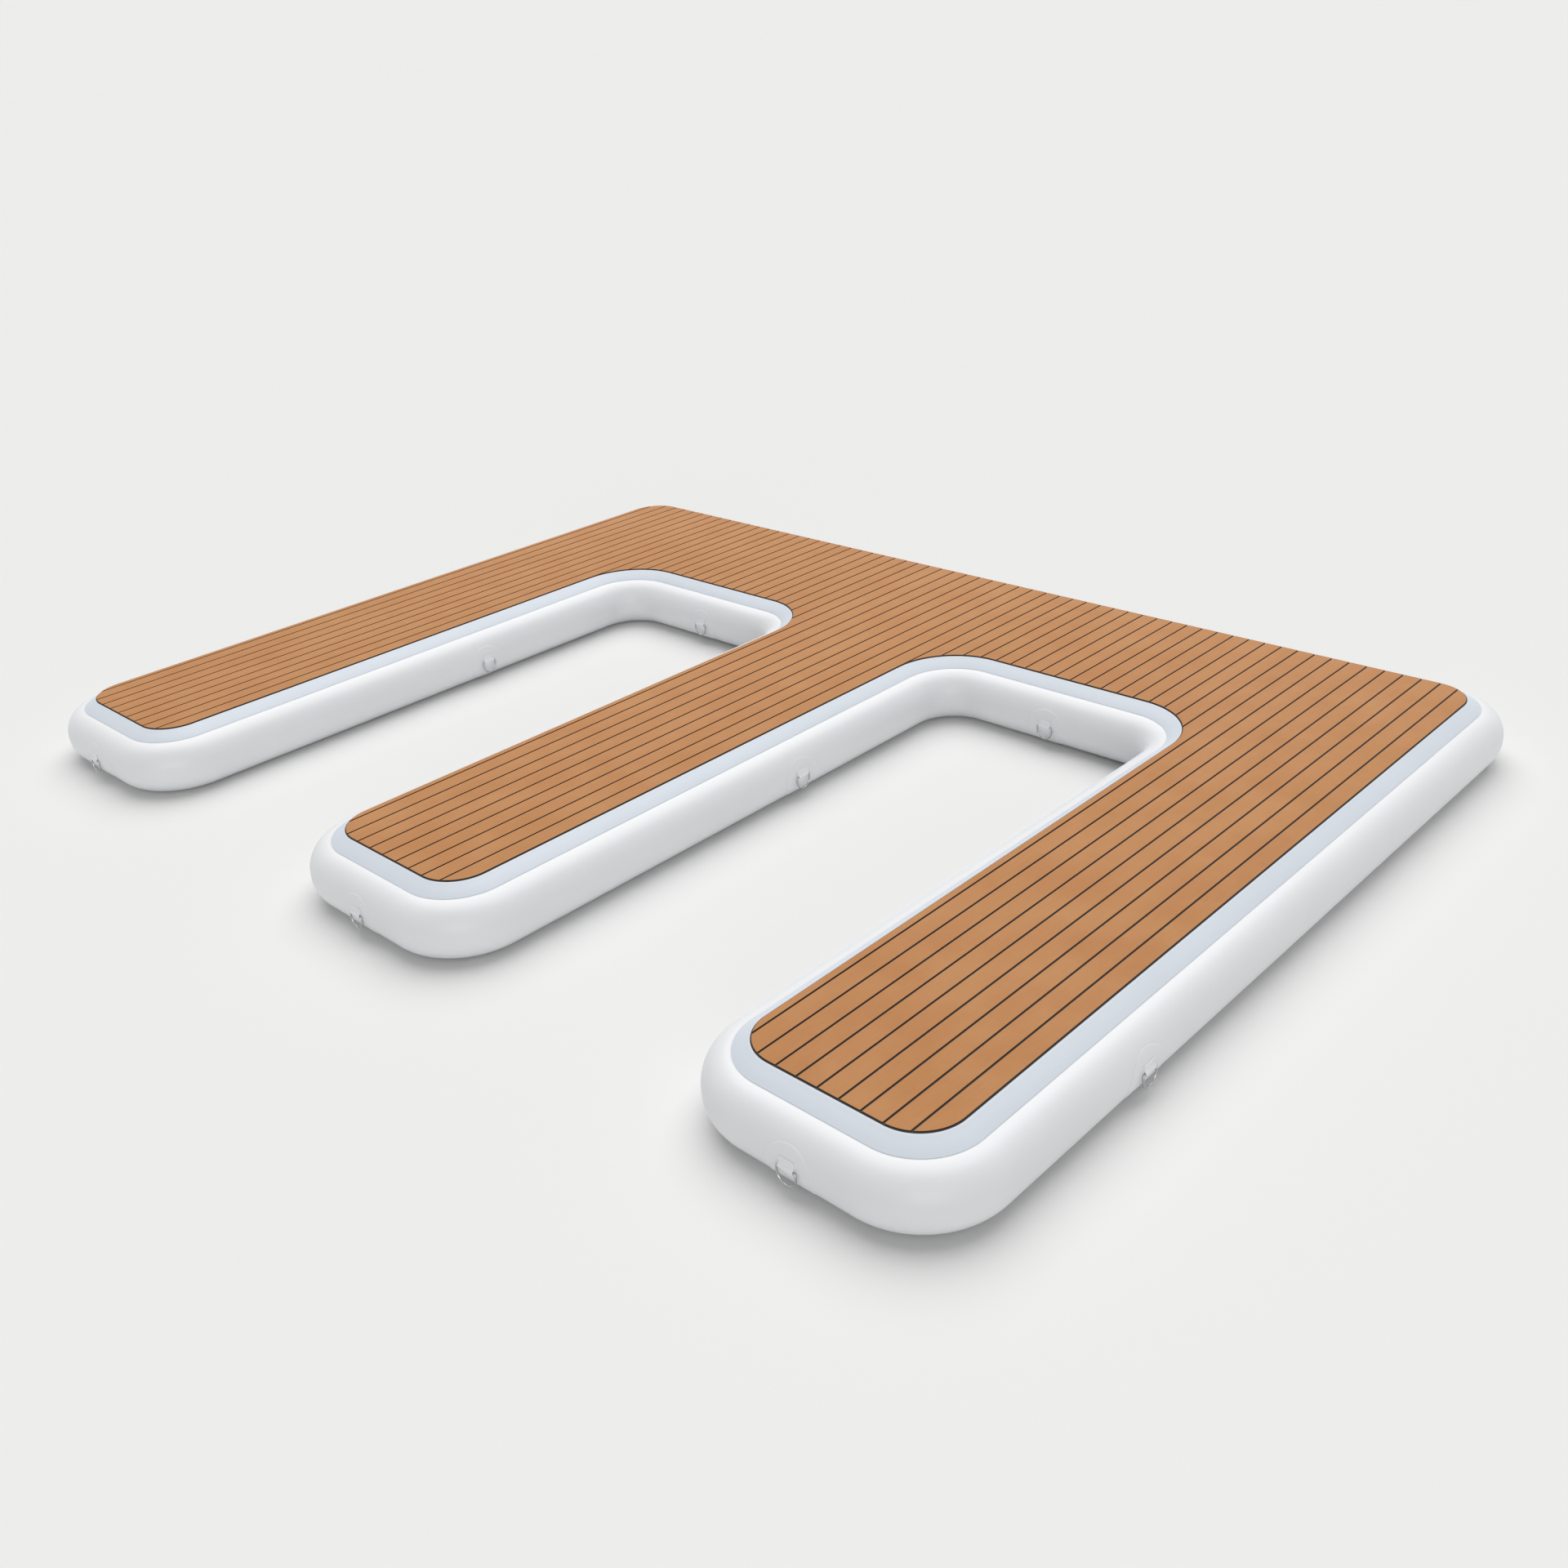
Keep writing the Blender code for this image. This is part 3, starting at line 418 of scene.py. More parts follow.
def travel(start, heading, legs, run_step=RUN_STEP):
    """Points and outward normals along the legs. A leg is (0, length), or (side, radius) with side 1 for a
    left turn and -1 for a right one. A turn's points are its centre plus the radius, swept by a quarter."""
    points = [np.array([start], float)]
    headings = [np.array([heading], float)]
    for side, size in legs:
        place, ahead = points[-1][-1], headings[-1][-1]
        left = np.array([-ahead[1], ahead[0]])
        if side == 0:
            steps = np.linspace(0, 1, max(1, math.ceil(size / run_step)) + 1)[1:, None]
            points.append(place + ahead * size * steps)
            headings.append(np.repeat([ahead], len(steps), axis=0))
        else:
            angle = np.linspace(0, math.pi / 2, CORNER_STEPS + 1)[1:, None]
            turned = ahead * np.cos(angle) + side * left * np.sin(angle)
            points.append(place + side * left * size + side * to_right(turned) * size)
            headings.append(turned)
    return np.concatenate(points), to_right(np.concatenate(headings))


def turned_back(side, straight, low, high):
    """Legs of a straight, a quarter turn, the way across from one x to another, a turn and the straight
    again, from joint to joint. side is 1 round a finger's tip and the back, and -1 round a bay's end."""
    radius = TIP_CORNER_RADIUS if side == 1 else BAY_CORNER_RADIUS
    turn = (side, radius - side * WALL_BULGE)
    return [(0, straight), turn, (0, high - low - 2 * radius), turn, (0, straight)]


def wall_routes():
    """The eight lengths of wall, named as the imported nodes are."""
    side = [(0, BACK_JOINT - FRONT_JOINT)]
    routes = {
        "back_wall": ((RIGHT - WALL_BULGE, BACK_JOINT), (0, 1), turned_back(1, BACK_STRAIGHT, LEFT, RIGHT)),
        "side_wall_right": ((RIGHT - WALL_BULGE, FRONT_JOINT), (0, 1), side),
        "side_wall_left": ((LEFT + WALL_BULGE, BACK_JOINT), (0, -1), side),
    }
    for name, (low, high) in zip(NAMES, FINGERS):
        legs = turned_back(1, TIP_STRAIGHT, low, high)
        routes["tip_wall_" + name] = ((low + WALL_BULGE, FRONT_JOINT), (0, -1), legs)
    for name, (low, high) in zip(BAY_NAMES, BAYS):
        legs = turned_back(-1, BAY_STRAIGHT, low, high)
        routes["bay_wall_" + name] = ((low - WALL_BULGE, FRONT_JOINT), (0, 1), legs)
    return routes


def whole_plan(run_step=RUN_STEP):
    """The closed route round the whole E, from the left side's front joint, with no point twice."""
    legs = []
    for index, finger in enumerate(FINGERS):
        legs += turned_back(1, TIP_STRAIGHT, *finger)
        if index < len(BAYS):
            legs += turned_back(-1, BAY_STRAIGHT, *BAYS[index])
    side = (0, BACK_JOINT - FRONT_JOINT)
    legs += [side, *turned_back(1, BACK_STRAIGHT, LEFT, RIGHT), side]
    points, normals = travel((LEFT + WALL_BULGE, FRONT_JOINT), (0, -1), legs, run_step)
    return points[:-1], normals[:-1]


PLAN, PLAN_NORMALS = whole_plan()
print("the plan's edge has", len(PLAN), "points")

# %% [markdown]
# ## The side wall
#
# Air pressure blows the wall's strip of fabric out into a half ellipse. Its laps run in behind the
# skins, where they are glued. The wall is one section carried along each route, outside and inside
# face in one, so that each length is a closed shell of real thickness. Round the valve the nut draws
# the fabric flat, which a soft bump function, 1 near the axis and 0 away from it, blends in.

# %% Build the wall
SECTION_STEPS = 40
LAP_STEPS = 2
FLAT_INNER, FLAT_OUTER = 0.034, 0.075
FLAT_GAP = 0.0002
VALVE_PLACE = np.array(JOINTS["cap_twist"]["pos_m"])
FIRST_ANGLE = math.asin(WALL_FLAT_HEIGHT / 2 / WALL_HALF_HEIGHT)
ELLIPSE_HALF_WIDTH = WALL_BULGE / math.cos(FIRST_ANGLE)
BULGE_BLEND = 0.0012


def wall_line(angle):
    """Distance out and height on the wall's outer face. The half ellipse is half_width * cos and
    half_height * sin of the angle. Near mid height it is held back to the bulge by a smooth limit,
    bulge - s * log(1 + exp((bulge - free) / s))."""
    free = ELLIPSE_HALF_WIDTH * np.cos(angle)
    out = WALL_BULGE - BULGE_BLEND * np.logaddexp(0, (WALL_BULGE - free) / BULGE_BLEND)
    out = np.where(free < WALL_BULGE / 2, free, out)
    return out, WALL_MIDDLE + WALL_HALF_HEIGHT * np.sin(angle)


def wall_section():
    """The section as a closed loop: laps and bulge outside from top to bottom, then the same line inside. The
    top lap follows the shoulder."""
    angle = np.linspace(math.pi / 2, -math.pi / 2, SECTION_STEPS + 1)
    out, height = wall_line(angle)
    lap = np.linspace(-WALL_LAP, 0, LAP_STEPS + 1)[:-1]
    out = np.concatenate([lap * math.cos(SHOULDER_SLOPE), out, lap[::-1]])
    top_lap = WALL_TOP - lap * math.sin(SHOULDER_SLOPE)
    height = np.concatenate([top_lap, height, np.full(LAP_STEPS, WALL_BOTTOM)])
    line = np.stack([out, height], axis=1)
    return line, line + to_right(tangents(line)) * FABRIC_THICKNESS


def drawn_flat(points):
    """Pulls the back wall's outside to its widest plane near the valve. The pull is 1 within FLAT_INNER of
    the axis, and falls smoothly to 0 at FLAT_OUTER."""
    away = np.hypot(points[..., 0] - VALVE_PLACE[0], points[..., 2] - VALVE_PLACE[2])
    share = eased(np.clip((FLAT_OUTER - away) / (FLAT_OUTER - FLAT_INNER), 0, 1))
    pulled = points.copy()
    behind = points[..., 1] > BACK - WALL_BULGE / 2
    pulled[..., 1] += np.where(behind, share * (BACK - FLAT_GAP - points[..., 1]), 0)
    return pulled


def carried(points, normals, section):
    """The section at every point of a route: the point plus its normal times the distance out."""
    out, height = section[:, 0], section[:, 1]
    plan = points[:, None, :] + normals[:, None, :] * out[None, :, None]
    return np.concatenate([plan, np.broadcast_to(height[None, :, None], (*plan.shape[:2], 1))], axis=2)


def shell_strip(outside, inside, tint=0):
    """A closed body from the two faces of a strip. Each of its sections is the outer line and then the inner
    one, run backwards, so the two ends are closed by quads from each point to the one across."""
    loop = np.concatenate([outside, inside[:, ::-1]], axis=1)
    rows, columns = loop.shape[:2]
    j = np.arange(columns // 2 - 1)
    cap = np.stack([j, j + 1, columns - 2 - j, columns - 1 - j], axis=1)
    far_cap = (cap + (rows - 1) * columns)[:, ::-1]
    return solid(loop, [grid_quads(rows, columns, close_columns=True), cap, far_cap], tint)


def add_wall(name, start, heading, legs):
    points, normals = travel(start, heading, legs)
    outside, inside = (carried(points, normals, section) for section in wall_section())
    if name == "back_wall":
        outside, inside = drawn_flat(outside), drawn_flat(inside)
        inside[..., 1] -= np.where(inside[..., 1] > BACK - FABRIC_THICKNESS, FABRIC_THICKNESS, 0)
    wall = shell_strip(outside, inside)
    add_piece(name + "_fabric", [wall], [WALL_FABRIC], "float", [name])


WALL_ROUTES = wall_routes()
for wall_name, route in WALL_ROUTES.items():
    add_wall(wall_name, *route)

# %% [markdown]
# Inside the float, a tape backs each butt joint between two lengths of wall. Such a joint lies where a
# length's route starts. The tape follows the wall's own section, moved in by the fabric's thickness.

# %% Build the joint tapes
JOINT_TAPE_WIDTH = 0.06
TAPE_SECTION_STEPS = slice(LAP_STEPS, -LAP_STEPS)
TAPE_WALLS = {
    "back_right": "back_wall", "back_left": "side_wall_left",
    "left_tip_left": "tip_wall_left", "left_tip_right": "bay_wall_left",
    "middle_tip_left": "tip_wall_middle", "middle_tip_right": "bay_wall_right",
    "right_tip_left": "tip_wall_right", "right_tip_right": "side_wall_right",
}


def add_joint_tape(name, place, heading):
    """A shell of the wall's inner line: its outer face is that line moved in by the clearance."""
    start = np.array(place) - np.array(heading) * JOINT_TAPE_WIDTH / 2
    points, normals = travel(start, heading, [(0, JOINT_TAPE_WIDTH)], run_step=JOINT_TAPE_WIDTH / 4)
    outer, inner = (line[TAPE_SECTION_STEPS] for line in wall_section())
    inward = (inner - outer) / FABRIC_THICKNESS
    tape = shell_strip(*(carried(points, normals, inner + inward * depth)
                         for depth in (CLEARANCE, CLEARANCE + FABRIC_THICKNESS)))
    add_piece(name + "_cloth", [tape], [WALL_FABRIC], "float", [name])


for tape_name, wall_name in TAPE_WALLS.items():
    add_joint_tape("wall_joint_tape_" + tape_name, *WALL_ROUTES[wall_name][:2])

# %% [markdown]
# ## The skins
#
# Each skin is one sheet of fabric, cut along the plan and glued over the wall's lap. Both are rings of
# the plan, at the offsets and heights of one line, with a face to fill the sheet on each side. The lower
# skin is flat. The upper one turns down past the yarns into a shoulder, which the air crowns a little.

# %% Build the skins
EDGE_STEPS = 4
FOLD_STEPS = 8
SLOPE_STEPS = 8
FOLD_START = 0.003
FOLD_SHARE = 0.2
SHOULDER_CROWN = 0.0012


HALF_ROUND = np.linspace(-math.pi / 2, math.pi / 2, 2 * EDGE_STEPS + 1)


def round_edge(thickness):
    """(offset, height) round a sheet's rim: half a circle of its thickness, moved in by its radius."""
    angle, radius = HALF_ROUND, thickness / 2
    return np.stack([radius * np.cos(angle) - radius, radius * np.sin(angle) + radius], axis=1)


def filled_sheet(rings, tint=0):
    """A closed body from rings of points that run round one outline, with its first and last filled."""
    rows, columns = rings.shape[:2]
    fill = np.arange(columns)[None, :]
    last_fill = fill[:, ::-1] + (rows - 1) * columns
    return solid(rings, [grid_quads(rows, columns, close_columns=True), fill, last_fill], tint)


def plan_sheet(section):
    return filled_sheet(carried(PLAN, PLAN_NORMALS, section).transpose(1, 0, 2))


def shoulder_skin():
    """The shoulder's upper line is a curve through the fold, (1 - t)^2 a + 2t(1 - t) b + t^2 c, then a slope
    with a parabola of SHOULDER_CROWN on it. The lower line is the upper one moved in by the thickness."""
    fold = np.array([-SHOULDER_WIDTH, FLOAT_TOP])
    edge = np.array([0.0, SKIN_EDGE_HEIGHT])
    start, turned_down = fold - (FOLD_START, 0), fold + (edge - fold) * FOLD_SHARE
    t = np.linspace(0, 1, FOLD_STEPS + 1)[:, None]
    bend = (1 - t) ** 2 * start + 2 * t * (1 - t) * fold + t * t * turned_down
    s = np.linspace(0, 1, SLOPE_STEPS + 1)[1:, None]
    up = np.array([math.sin(SHOULDER_SLOPE), math.cos(SHOULDER_SLOPE)])
    slope = turned_down + (edge - turned_down) * s + up * SHOULDER_CROWN * 4 * s * (1 - s)
    upper = np.concatenate([bend, slope])
    ahead = tangents(upper)
    normal = -to_right(ahead)
    lower = upper - normal * FABRIC_THICKNESS
    angle = HALF_ROUND[1:-1, None]
    middle = (upper[-1] + lower[-1]) / 2
    rim = middle + FABRIC_THICKNESS / 2 * (normal[-1] * np.sin(angle) + ahead[-1] * (np.cos(angle) - 1))
    return plan_sheet(np.concatenate([lower, rim, upper[::-1]]))


BOTTOM_LOW, BOTTOM_HIGH = (corner.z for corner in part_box("bottom_skin"))
bottom_skin = plan_sheet(round_edge(BOTTOM_HIGH - BOTTOM_LOW) + (0, BOTTOM_LOW))
add_piece("bottom_skin_fabric", [bottom_skin], [SKIN_FABRIC], "float", ["bottom_skin"])
add_piece("top_skin_fabric", [shoulder_skin()], [SKIN_FABRIC], "float", ["top_skin"])

# %% [markdown]
# ## The core
#
# The core is a cloth woven double. Its two faces lie against the skins, and yarns hold them apart. It
# ends where the shoulder starts. The yarns stand in a square grid, and the real ones are far closer.

# %% Build the core
CLOTH_THICKNESS = 0.0008
YARN_PITCH = 0.1
YARN_RADIUS = 0.0006
YARN_SIDES = 8
CORE_INSET = SHOULDER_WIDTH + 2 * FABRIC_THICKNESS
CORE_LOW = WALL_BOTTOM
CORE_HIGH = FLOAT_TOP - FABRIC_THICKNESS - CLEARANCE


def inside_plan(x, y, inset):
    """Whether points lie in the E moved in by inset: in the big outline and in neither bay."""
    inside = (np.abs(x) < RIGHT - inset) & (y > FRONT + inset) & (y < BACK - inset)
    for low, high in BAYS:
        inside &= ~((x > low - inset) & (x < high + inset) & (y < BAY_BACK + inset))
    return inside


def core():
    """Two sheets of cloth, and at every place in the grid a yarn: a ring of points at its foot and head."""
    sheets = [plan_sheet(np.array([(-CORE_INSET, low), (-CORE_INSET, low + CLOTH_THICKNESS)]))
              for low in (CORE_LOW, CORE_HIGH - CLOTH_THICKNESS)]
    x, y = np.meshgrid(np.arange(LEFT, RIGHT, YARN_PITCH) + YARN_PITCH / 2,
                       np.arange(FRONT, BACK, YARN_PITCH) + YARN_PITCH / 2)
    kept = inside_plan(x, y, WALL_BULGE + 2 * CORE_INSET)
    turn = all_round(YARN_SIDES)
    ring = YARN_RADIUS * np.stack([np.cos(turn), np.sin(turn), np.zeros(YARN_SIDES)], axis=1)
    yarn = np.array([ring + (0, 0, height)
                     for height in (CORE_LOW + CLOTH_THICKNESS / 2, CORE_HIGH - CLOTH_THICKNESS / 2)])
    return sheets + [filled_sheet(yarn + (*foot, 0)) for foot in zip(x[kept], y[kept])]


add_piece("drop_stitch_core_cloth", core(), [CORE_CLOTH], "float", ["drop_stitch_core"])

# %% [markdown]
# ## The deck
#
# Five sheets of foam cover the top. Each is a black base with teak planks on it, and the planks are
# the plan's outline cut into strips along Y. At any x the plan is one stretch of y, from a lower line
# to an upper one, and both lines run from left to right. So a plank is the piece of both lines between
# its two grooves. Its top edge is rounded, as a router bit leaves it.

# %% Build the deck
PLANK_PITCH = 0.089
FIRST_STRIP_WIDTH = 0.038
GROOVE_WIDTH = 0.0085
DECK_REVEAL = 0.005
BASE_THICKNESS = 0.002
PLANK_EDGE_RADIUS = 0.0009
BASE_EDGE_RADIUS = 0.0005
SHEET_GAP = 0.0003
DECK_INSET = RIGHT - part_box("deck_sheet_right_finger")[1].x
DECK_BOTTOM, DECK_TOP = (corner.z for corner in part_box("deck_sheet_right_finger"))
CLEAN_PLAN, CLEAN_NORMALS = whole_plan(run_step=RIGHT - LEFT)


def chains(inset):
    """The plan's outline, moved in by inset from the wall's widest line, as its lower and upper line."""
    outline = CLEAN_PLAN + CLEAN_NORMALS * (WALL_BULGE - inset)
    right_side = np.flatnonzero(outline[:, 0] > outline[:, 0].max() - SAME_PLACE)
    lower = outline[:right_side[0] + 1]
    upper = np.concatenate([outline[right_side[-1]:], outline[:1]])[::-1]
    return lower, upper


def between(line, low, high):
    """The stretch of a left-to-right line from x = low to x = high, with its ends put in where it is cut."""
    inside = line[(line[:, 0] > low) & (line[:, 0] < high)]
    ends = [[[x, np.interp(x, line[:, 0], line[:, 1])]] if line[0, 0] < x < line[-1, 0] else np.empty((0, 2))
            for x in (low, high)]
    return np.concatenate([ends[0], inside, ends[1]])


def strip_outline(lower, upper, low, high):
    """Counter-clockwise outline of the strip of the plan between two x, with no point twice."""
    outline = np.concatenate([between(lower, low, high), between(upper, low, high)[::-1]])
    step = np.linalg.norm(outline - np.roll(outline, 1, axis=0), axis=1)
    return outline[step > SAME_PLACE]


def moved_in(outline, distance):
    """Each side of a closed outline moved in by distance: a corner goes along the mean of its sides' normals,
    divided by one plus their dot product."""
    normal = -to_right(unit(np.roll(outline, -1, axis=0) - outline))
    before = np.roll(normal, 1, axis=0)
    corner = (before + normal) / (1 + np.sum(before * normal, axis=1))[:, None]
    return outline + corner * distance


def slab(outline, bottom, top, edge_radius, tint):
    """A flat body with its upper rim rounded: rings of the outline, moved in and up by a quarter circle. Its
    side is the black foam, up to the rounded rim, and tint is the number of what lies on top."""
    angle = np.linspace(0, math.pi / 2, EDGE_STEPS)
    inward = np.concatenate([[0], edge_radius * (1 - np.cos(angle))])
    height = np.concatenate([[bottom], top - edge_radius * (1 - np.sin(angle))])
    rings = np.stack([np.column_stack([moved_in(outline, i), np.full(len(outline), z)])
                      for i, z in zip(inward, height)])
    rows, columns = rings.shape[:2]
    side = grid_quads(2, columns, close_columns=True)
    rim = grid_quads(rows - 1, columns, close_columns=True) + columns
    fill = np.arange(columns)[None, :]
    return solid(rings, [side, fill, rim, fill[:, ::-1] + (rows - 1) * columns], (1, 1, tint, tint))


def spaced(low, high):
    """Lines from low to high, both included, about one plank apart."""
    return list(np.linspace(low, high, max(round((high - low) / PLANK_PITCH), 1) + 1))


def plank_edges():
    """The groove lines that bound each sheet's planks, by sheet."""
    pads = [(low + DECK_INSET, high - DECK_INSET) for low, high in FINGERS]
    fingers = [spaced(low + FIRST_STRIP_WIDTH, high) for low, high in pads]
    bays = [spaced(before[-1], after[0]) for before, after in zip(fingers, fingers[1:])]
    return {
        "left_finger": [LEFT, *fingers[0]],
        "left_bay": bays[0][:-1],
        "middle_finger": [bays[0][-2], *fingers[1]],
        "right_bay": bays[1][:-1],
        "right_finger": [bays[1][-2], *fingers[2][:-1], RIGHT],
    }


def add_deck_sheet(name, edges):
    base_lines, plank_lines = chains(DECK_INSET), chains(DECK_INSET + DECK_REVEAL)
    base_top = DECK_BOTTOM + BASE_THICKNESS
    outline = strip_outline(*base_lines, edges[0] + SHEET_GAP / 2, edges[-1] - SHEET_GAP / 2)
    solids = [slab(outline, DECK_BOTTOM, base_top, BASE_EDGE_RADIUS, 1)]
    for low, high in zip(edges, edges[1:]):
        outline = strip_outline(*plank_lines, low + GROOVE_WIDTH / 2, high - GROOVE_WIDTH / 2)
        solids.append(slab(outline, base_top - SHEET_GAP, DECK_TOP, PLANK_EDGE_RADIUS, 0))
    add_piece(name + "_decking", solids, [TEAK_FOAM, BLACK_FOAM], "float",
              ["deck_sheet_" + name])


for sheet_name, sheet_edges in plank_edges().items():
    add_deck_sheet(sheet_name, sheet_edges)

# %% [markdown]
# ## The D-rings
#
# A ring is drawn wire, 7.5 mm thick, bent to a D. Its line is straight along the bar, turns two small
# corners and comes back in a bow. A circle of points is carried along that closed line. The joint in
# the frame gives each ring's bar: where it lies and which way it points.

# %% Build the rings
RING_WIDTH = 0.088
RING_HEIGHT = 0.07
WIRE_RADIUS = 0.00375
RING_CORNER_RADIUS = 0.008
WIRE_SIDES = 20
BOW_STEPS = 48
CORNER_BEND_STEPS = 8
RING_JOINTS = {name.removeprefix("ring_swing_"): joint for name, joint in JOINTS.items()
               if name.startswith("ring_swing_")}


def ring_line():
    """Points of the D, (across, up) from the middle of its bar: a quarter circle at each end of the bar, and
    half a circle for the bow."""
    half_width = RING_WIDTH / 2 - WIRE_RADIUS
    drop = RING_HEIGHT - 2 * WIRE_RADIUS
    corner = RING_CORNER_RADIUS
    turn = np.linspace(0, math.pi / 2, CORNER_BEND_STEPS + 1)
    side = np.stack([half_width - corner + corner * np.sin(turn), corner * np.cos(turn) - corner], axis=1)
    sweep = np.linspace(0, math.pi, BOW_STEPS + 1)
    bow = np.stack([half_width * np.cos(sweep), half_width - drop - half_width * np.sin(sweep)], axis=1)
    return np.concatenate([side, bow, side[::-1] * (-1, 1)])


def ring_body():
    """The wire's surface: each point of the D plus the radius times (cos * outward + sin * sideways). At a
    point the closed line runs from the one before it to the one after."""
    line = ring_line()
    outward = to_right(unit(np.roll(line, -1, axis=0) - np.roll(line, 1, axis=0)))
    angle = all_round(WIRE_SIDES)
    flat = line[:, None] + WIRE_RADIUS * outward[:, None] * np.cos(angle)[None, :, None]
    sideways = np.broadcast_to(WIRE_RADIUS * np.sin(angle), flat.shape[:2])
    return np.stack([flat[..., 0], sideways, flat[..., 1]], axis=-1)


def placed(points, joint):
    """Points given as (along the bar, out of the wall, up), moved to the ring's place."""
    along = np.array(joint["axis"], float)
    up = np.array([0.0, 0.0, 1.0])
    out = np.cross(up, along)
    axes = np.stack([along, out, up])
    return np.asarray(points) @ axes + np.array(joint["pos_m"])


RING_SHAPE = ring_body()
RING_QUADS = grid_quads(*RING_SHAPE.shape[:2], close_rows=True, close_columns=True)
for ring_name, ring_joint in RING_JOINTS.items():
    ring = solid(placed(RING_SHAPE, ring_joint), [RING_QUADS])
    add_piece("ring_" + ring_name, [ring], [STEEL], "ring_" + ring_name,
              ["d_ring_" + ring_name])

# %% [markdown]
# ## Ring patches
#
# A ring hangs in the fold of a strap, and the strap is sewn and glued to a round patch of the wall's
# own fabric. The patch is a disc that lies on the curved wall, with its middle a little below the bar
# and a bevelled rim. Its points are given by a distance and an angle, with the height measured along
# the wall's curve, as on cloth that bends but doesn't stretch.

# %% Work out the patch
PATCH_RADIUS = 0.106
PATCH_DROP = 0.018
PATCH_THICKNESS = 0.0018
PATCH_EDGE_THICKNESS = 0.0003
PATCH_BEVEL = 0.0035
PATCH_BEVEL_STEPS = 4
PATCH_GAP = 0.0002
PATCH_RINGS = 16
PATCH_SPOKES = 96
CURVE_POINTS = 4001
BAR_HEIGHT = RING_JOINTS["tip_right"]["pos_m"][2]
BAR_STANDOFF = FRONT - RING_JOINTS["tip_right"]["pos_m"][1]


def wall_curve():
    """A fine table of the wall's line by its own length: length, out, height and the way out, from the bar's
    height, lengths upwards being above it."""
    angle = np.linspace(-math.pi / 2, math.pi / 2, CURVE_POINTS)
    out, height = wall_line(angle)
    length = np.concatenate([[0], np.cumsum(np.hypot(np.diff(out), np.diff(height)))])
    length -= np.interp(BAR_HEIGHT, height, length)
    ahead = tangents(np.stack([out, height], axis=1))
    return length, out, height, ahead[:, 1], -ahead[:, 0]


def on_wall(across, up, lift):
    """Points on the wall's curve in the ring's own axes: across it, and up along it, lifted off by lift."""
    length, out, height, normal_out, normal_up = wall_curve()
    lying_out = np.interp(up, length, out) + lift * np.interp(up, length, normal_out)
    lying_up = np.interp(up, length, height) + lift * np.interp(up, length, normal_up)
    return np.stack([across, lying_out - WALL_BULGE - BAR_STANDOFF, lying_up - BAR_HEIGHT], axis=-1)


def patch_body():
    """The disc as rings from its middle outside, down its bevel and over its rim, to its middle inside."""
    flat = np.linspace(0, PATCH_RADIUS - PATCH_BEVEL, PATCH_RINGS)[1:]
    slope = np.linspace(0, 1, PATCH_BEVEL_STEPS)[1:-1]
    rim = round_edge(PATCH_EDGE_THICKNESS)[::-1]
    outer = np.concatenate([flat, flat[-1] + PATCH_BEVEL * slope])
    thick = PATCH_THICKNESS - (PATCH_THICKNESS - PATCH_EDGE_THICKNESS) * slope
    outer_lift = np.concatenate([np.full(len(flat), PATCH_THICKNESS), thick])
    reach = np.concatenate([outer, PATCH_RADIUS + rim[:, 0], flat[::-1]])
    lift = PATCH_GAP + np.concatenate([outer_lift, rim[:, 1], np.zeros(len(flat))])
    angle = all_round(PATCH_SPOKES)
    across = reach[:, None] * np.cos(angle)
    up = reach[:, None] * np.sin(angle) - PATCH_DROP
    return on_wall(across, up, np.broadcast_to(lift[:, None], across.shape))


PATCH_SHAPE = patch_body()
print("a patch has", PATCH_SHAPE.shape[0], "rings of", PATCH_SPOKES, "points")

# %% [markdown]
# ### The straps
#
# The strap is a band of webbing, folded round the ring's bar and closed above it. Its middle line is
# drawn as seen from the side, then given its thickness and carried across its width. Each patch and its
# strap make one piece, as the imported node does.

# %% Build the patches and straps
STRAP_WIDTH = 0.064
STRAP_THICKNESS = 0.0022
STRAP_ROOT_HEIGHT = 0.034
STRAP_CLOSE_HEIGHT = 0.018
STRAP_FOLD_RADIUS = WIRE_RADIUS + 0.0004
STRAP_EDGE_STEPS = 4
STRAP_FOLD_STEPS = 20
STRAP_FOLD_PAST = 0.12
STRAP_LEAN_STEPS = 10
STRAP_EDGE_SHARE = 0.35


def strap_line():
    """The middle line of the strap, (out, up) from the bar: down behind it, round under it by half a turn and
    STRAP_FOLD_PAST, up in front to where the layers meet, and on to the root."""
    radius = STRAP_FOLD_RADIUS + STRAP_THICKNESS / 2
    front = STRAP_THICKNESS - radius + PATCH_GAP
    fold = np.linspace(math.pi, 2 * math.pi + STRAP_FOLD_PAST, STRAP_FOLD_STEPS + 1)
    fold = np.stack([radius * np.cos(fold), radius * np.sin(fold)], axis=1)
    share = np.linspace(0, 1, STRAP_LEAN_STEPS + 1)[1:]
    lean = np.stack([fold[-1, 0] + (front - fold[-1, 0]) * eased(share),
                     fold[-1, 1] + (STRAP_CLOSE_HEIGHT - fold[-1, 1]) * share], axis=1)
    root = np.array([[-radius, STRAP_ROOT_HEIGHT]])
    end = np.array([[front, STRAP_ROOT_HEIGHT]])
    return np.concatenate([root, fold, lean, end])


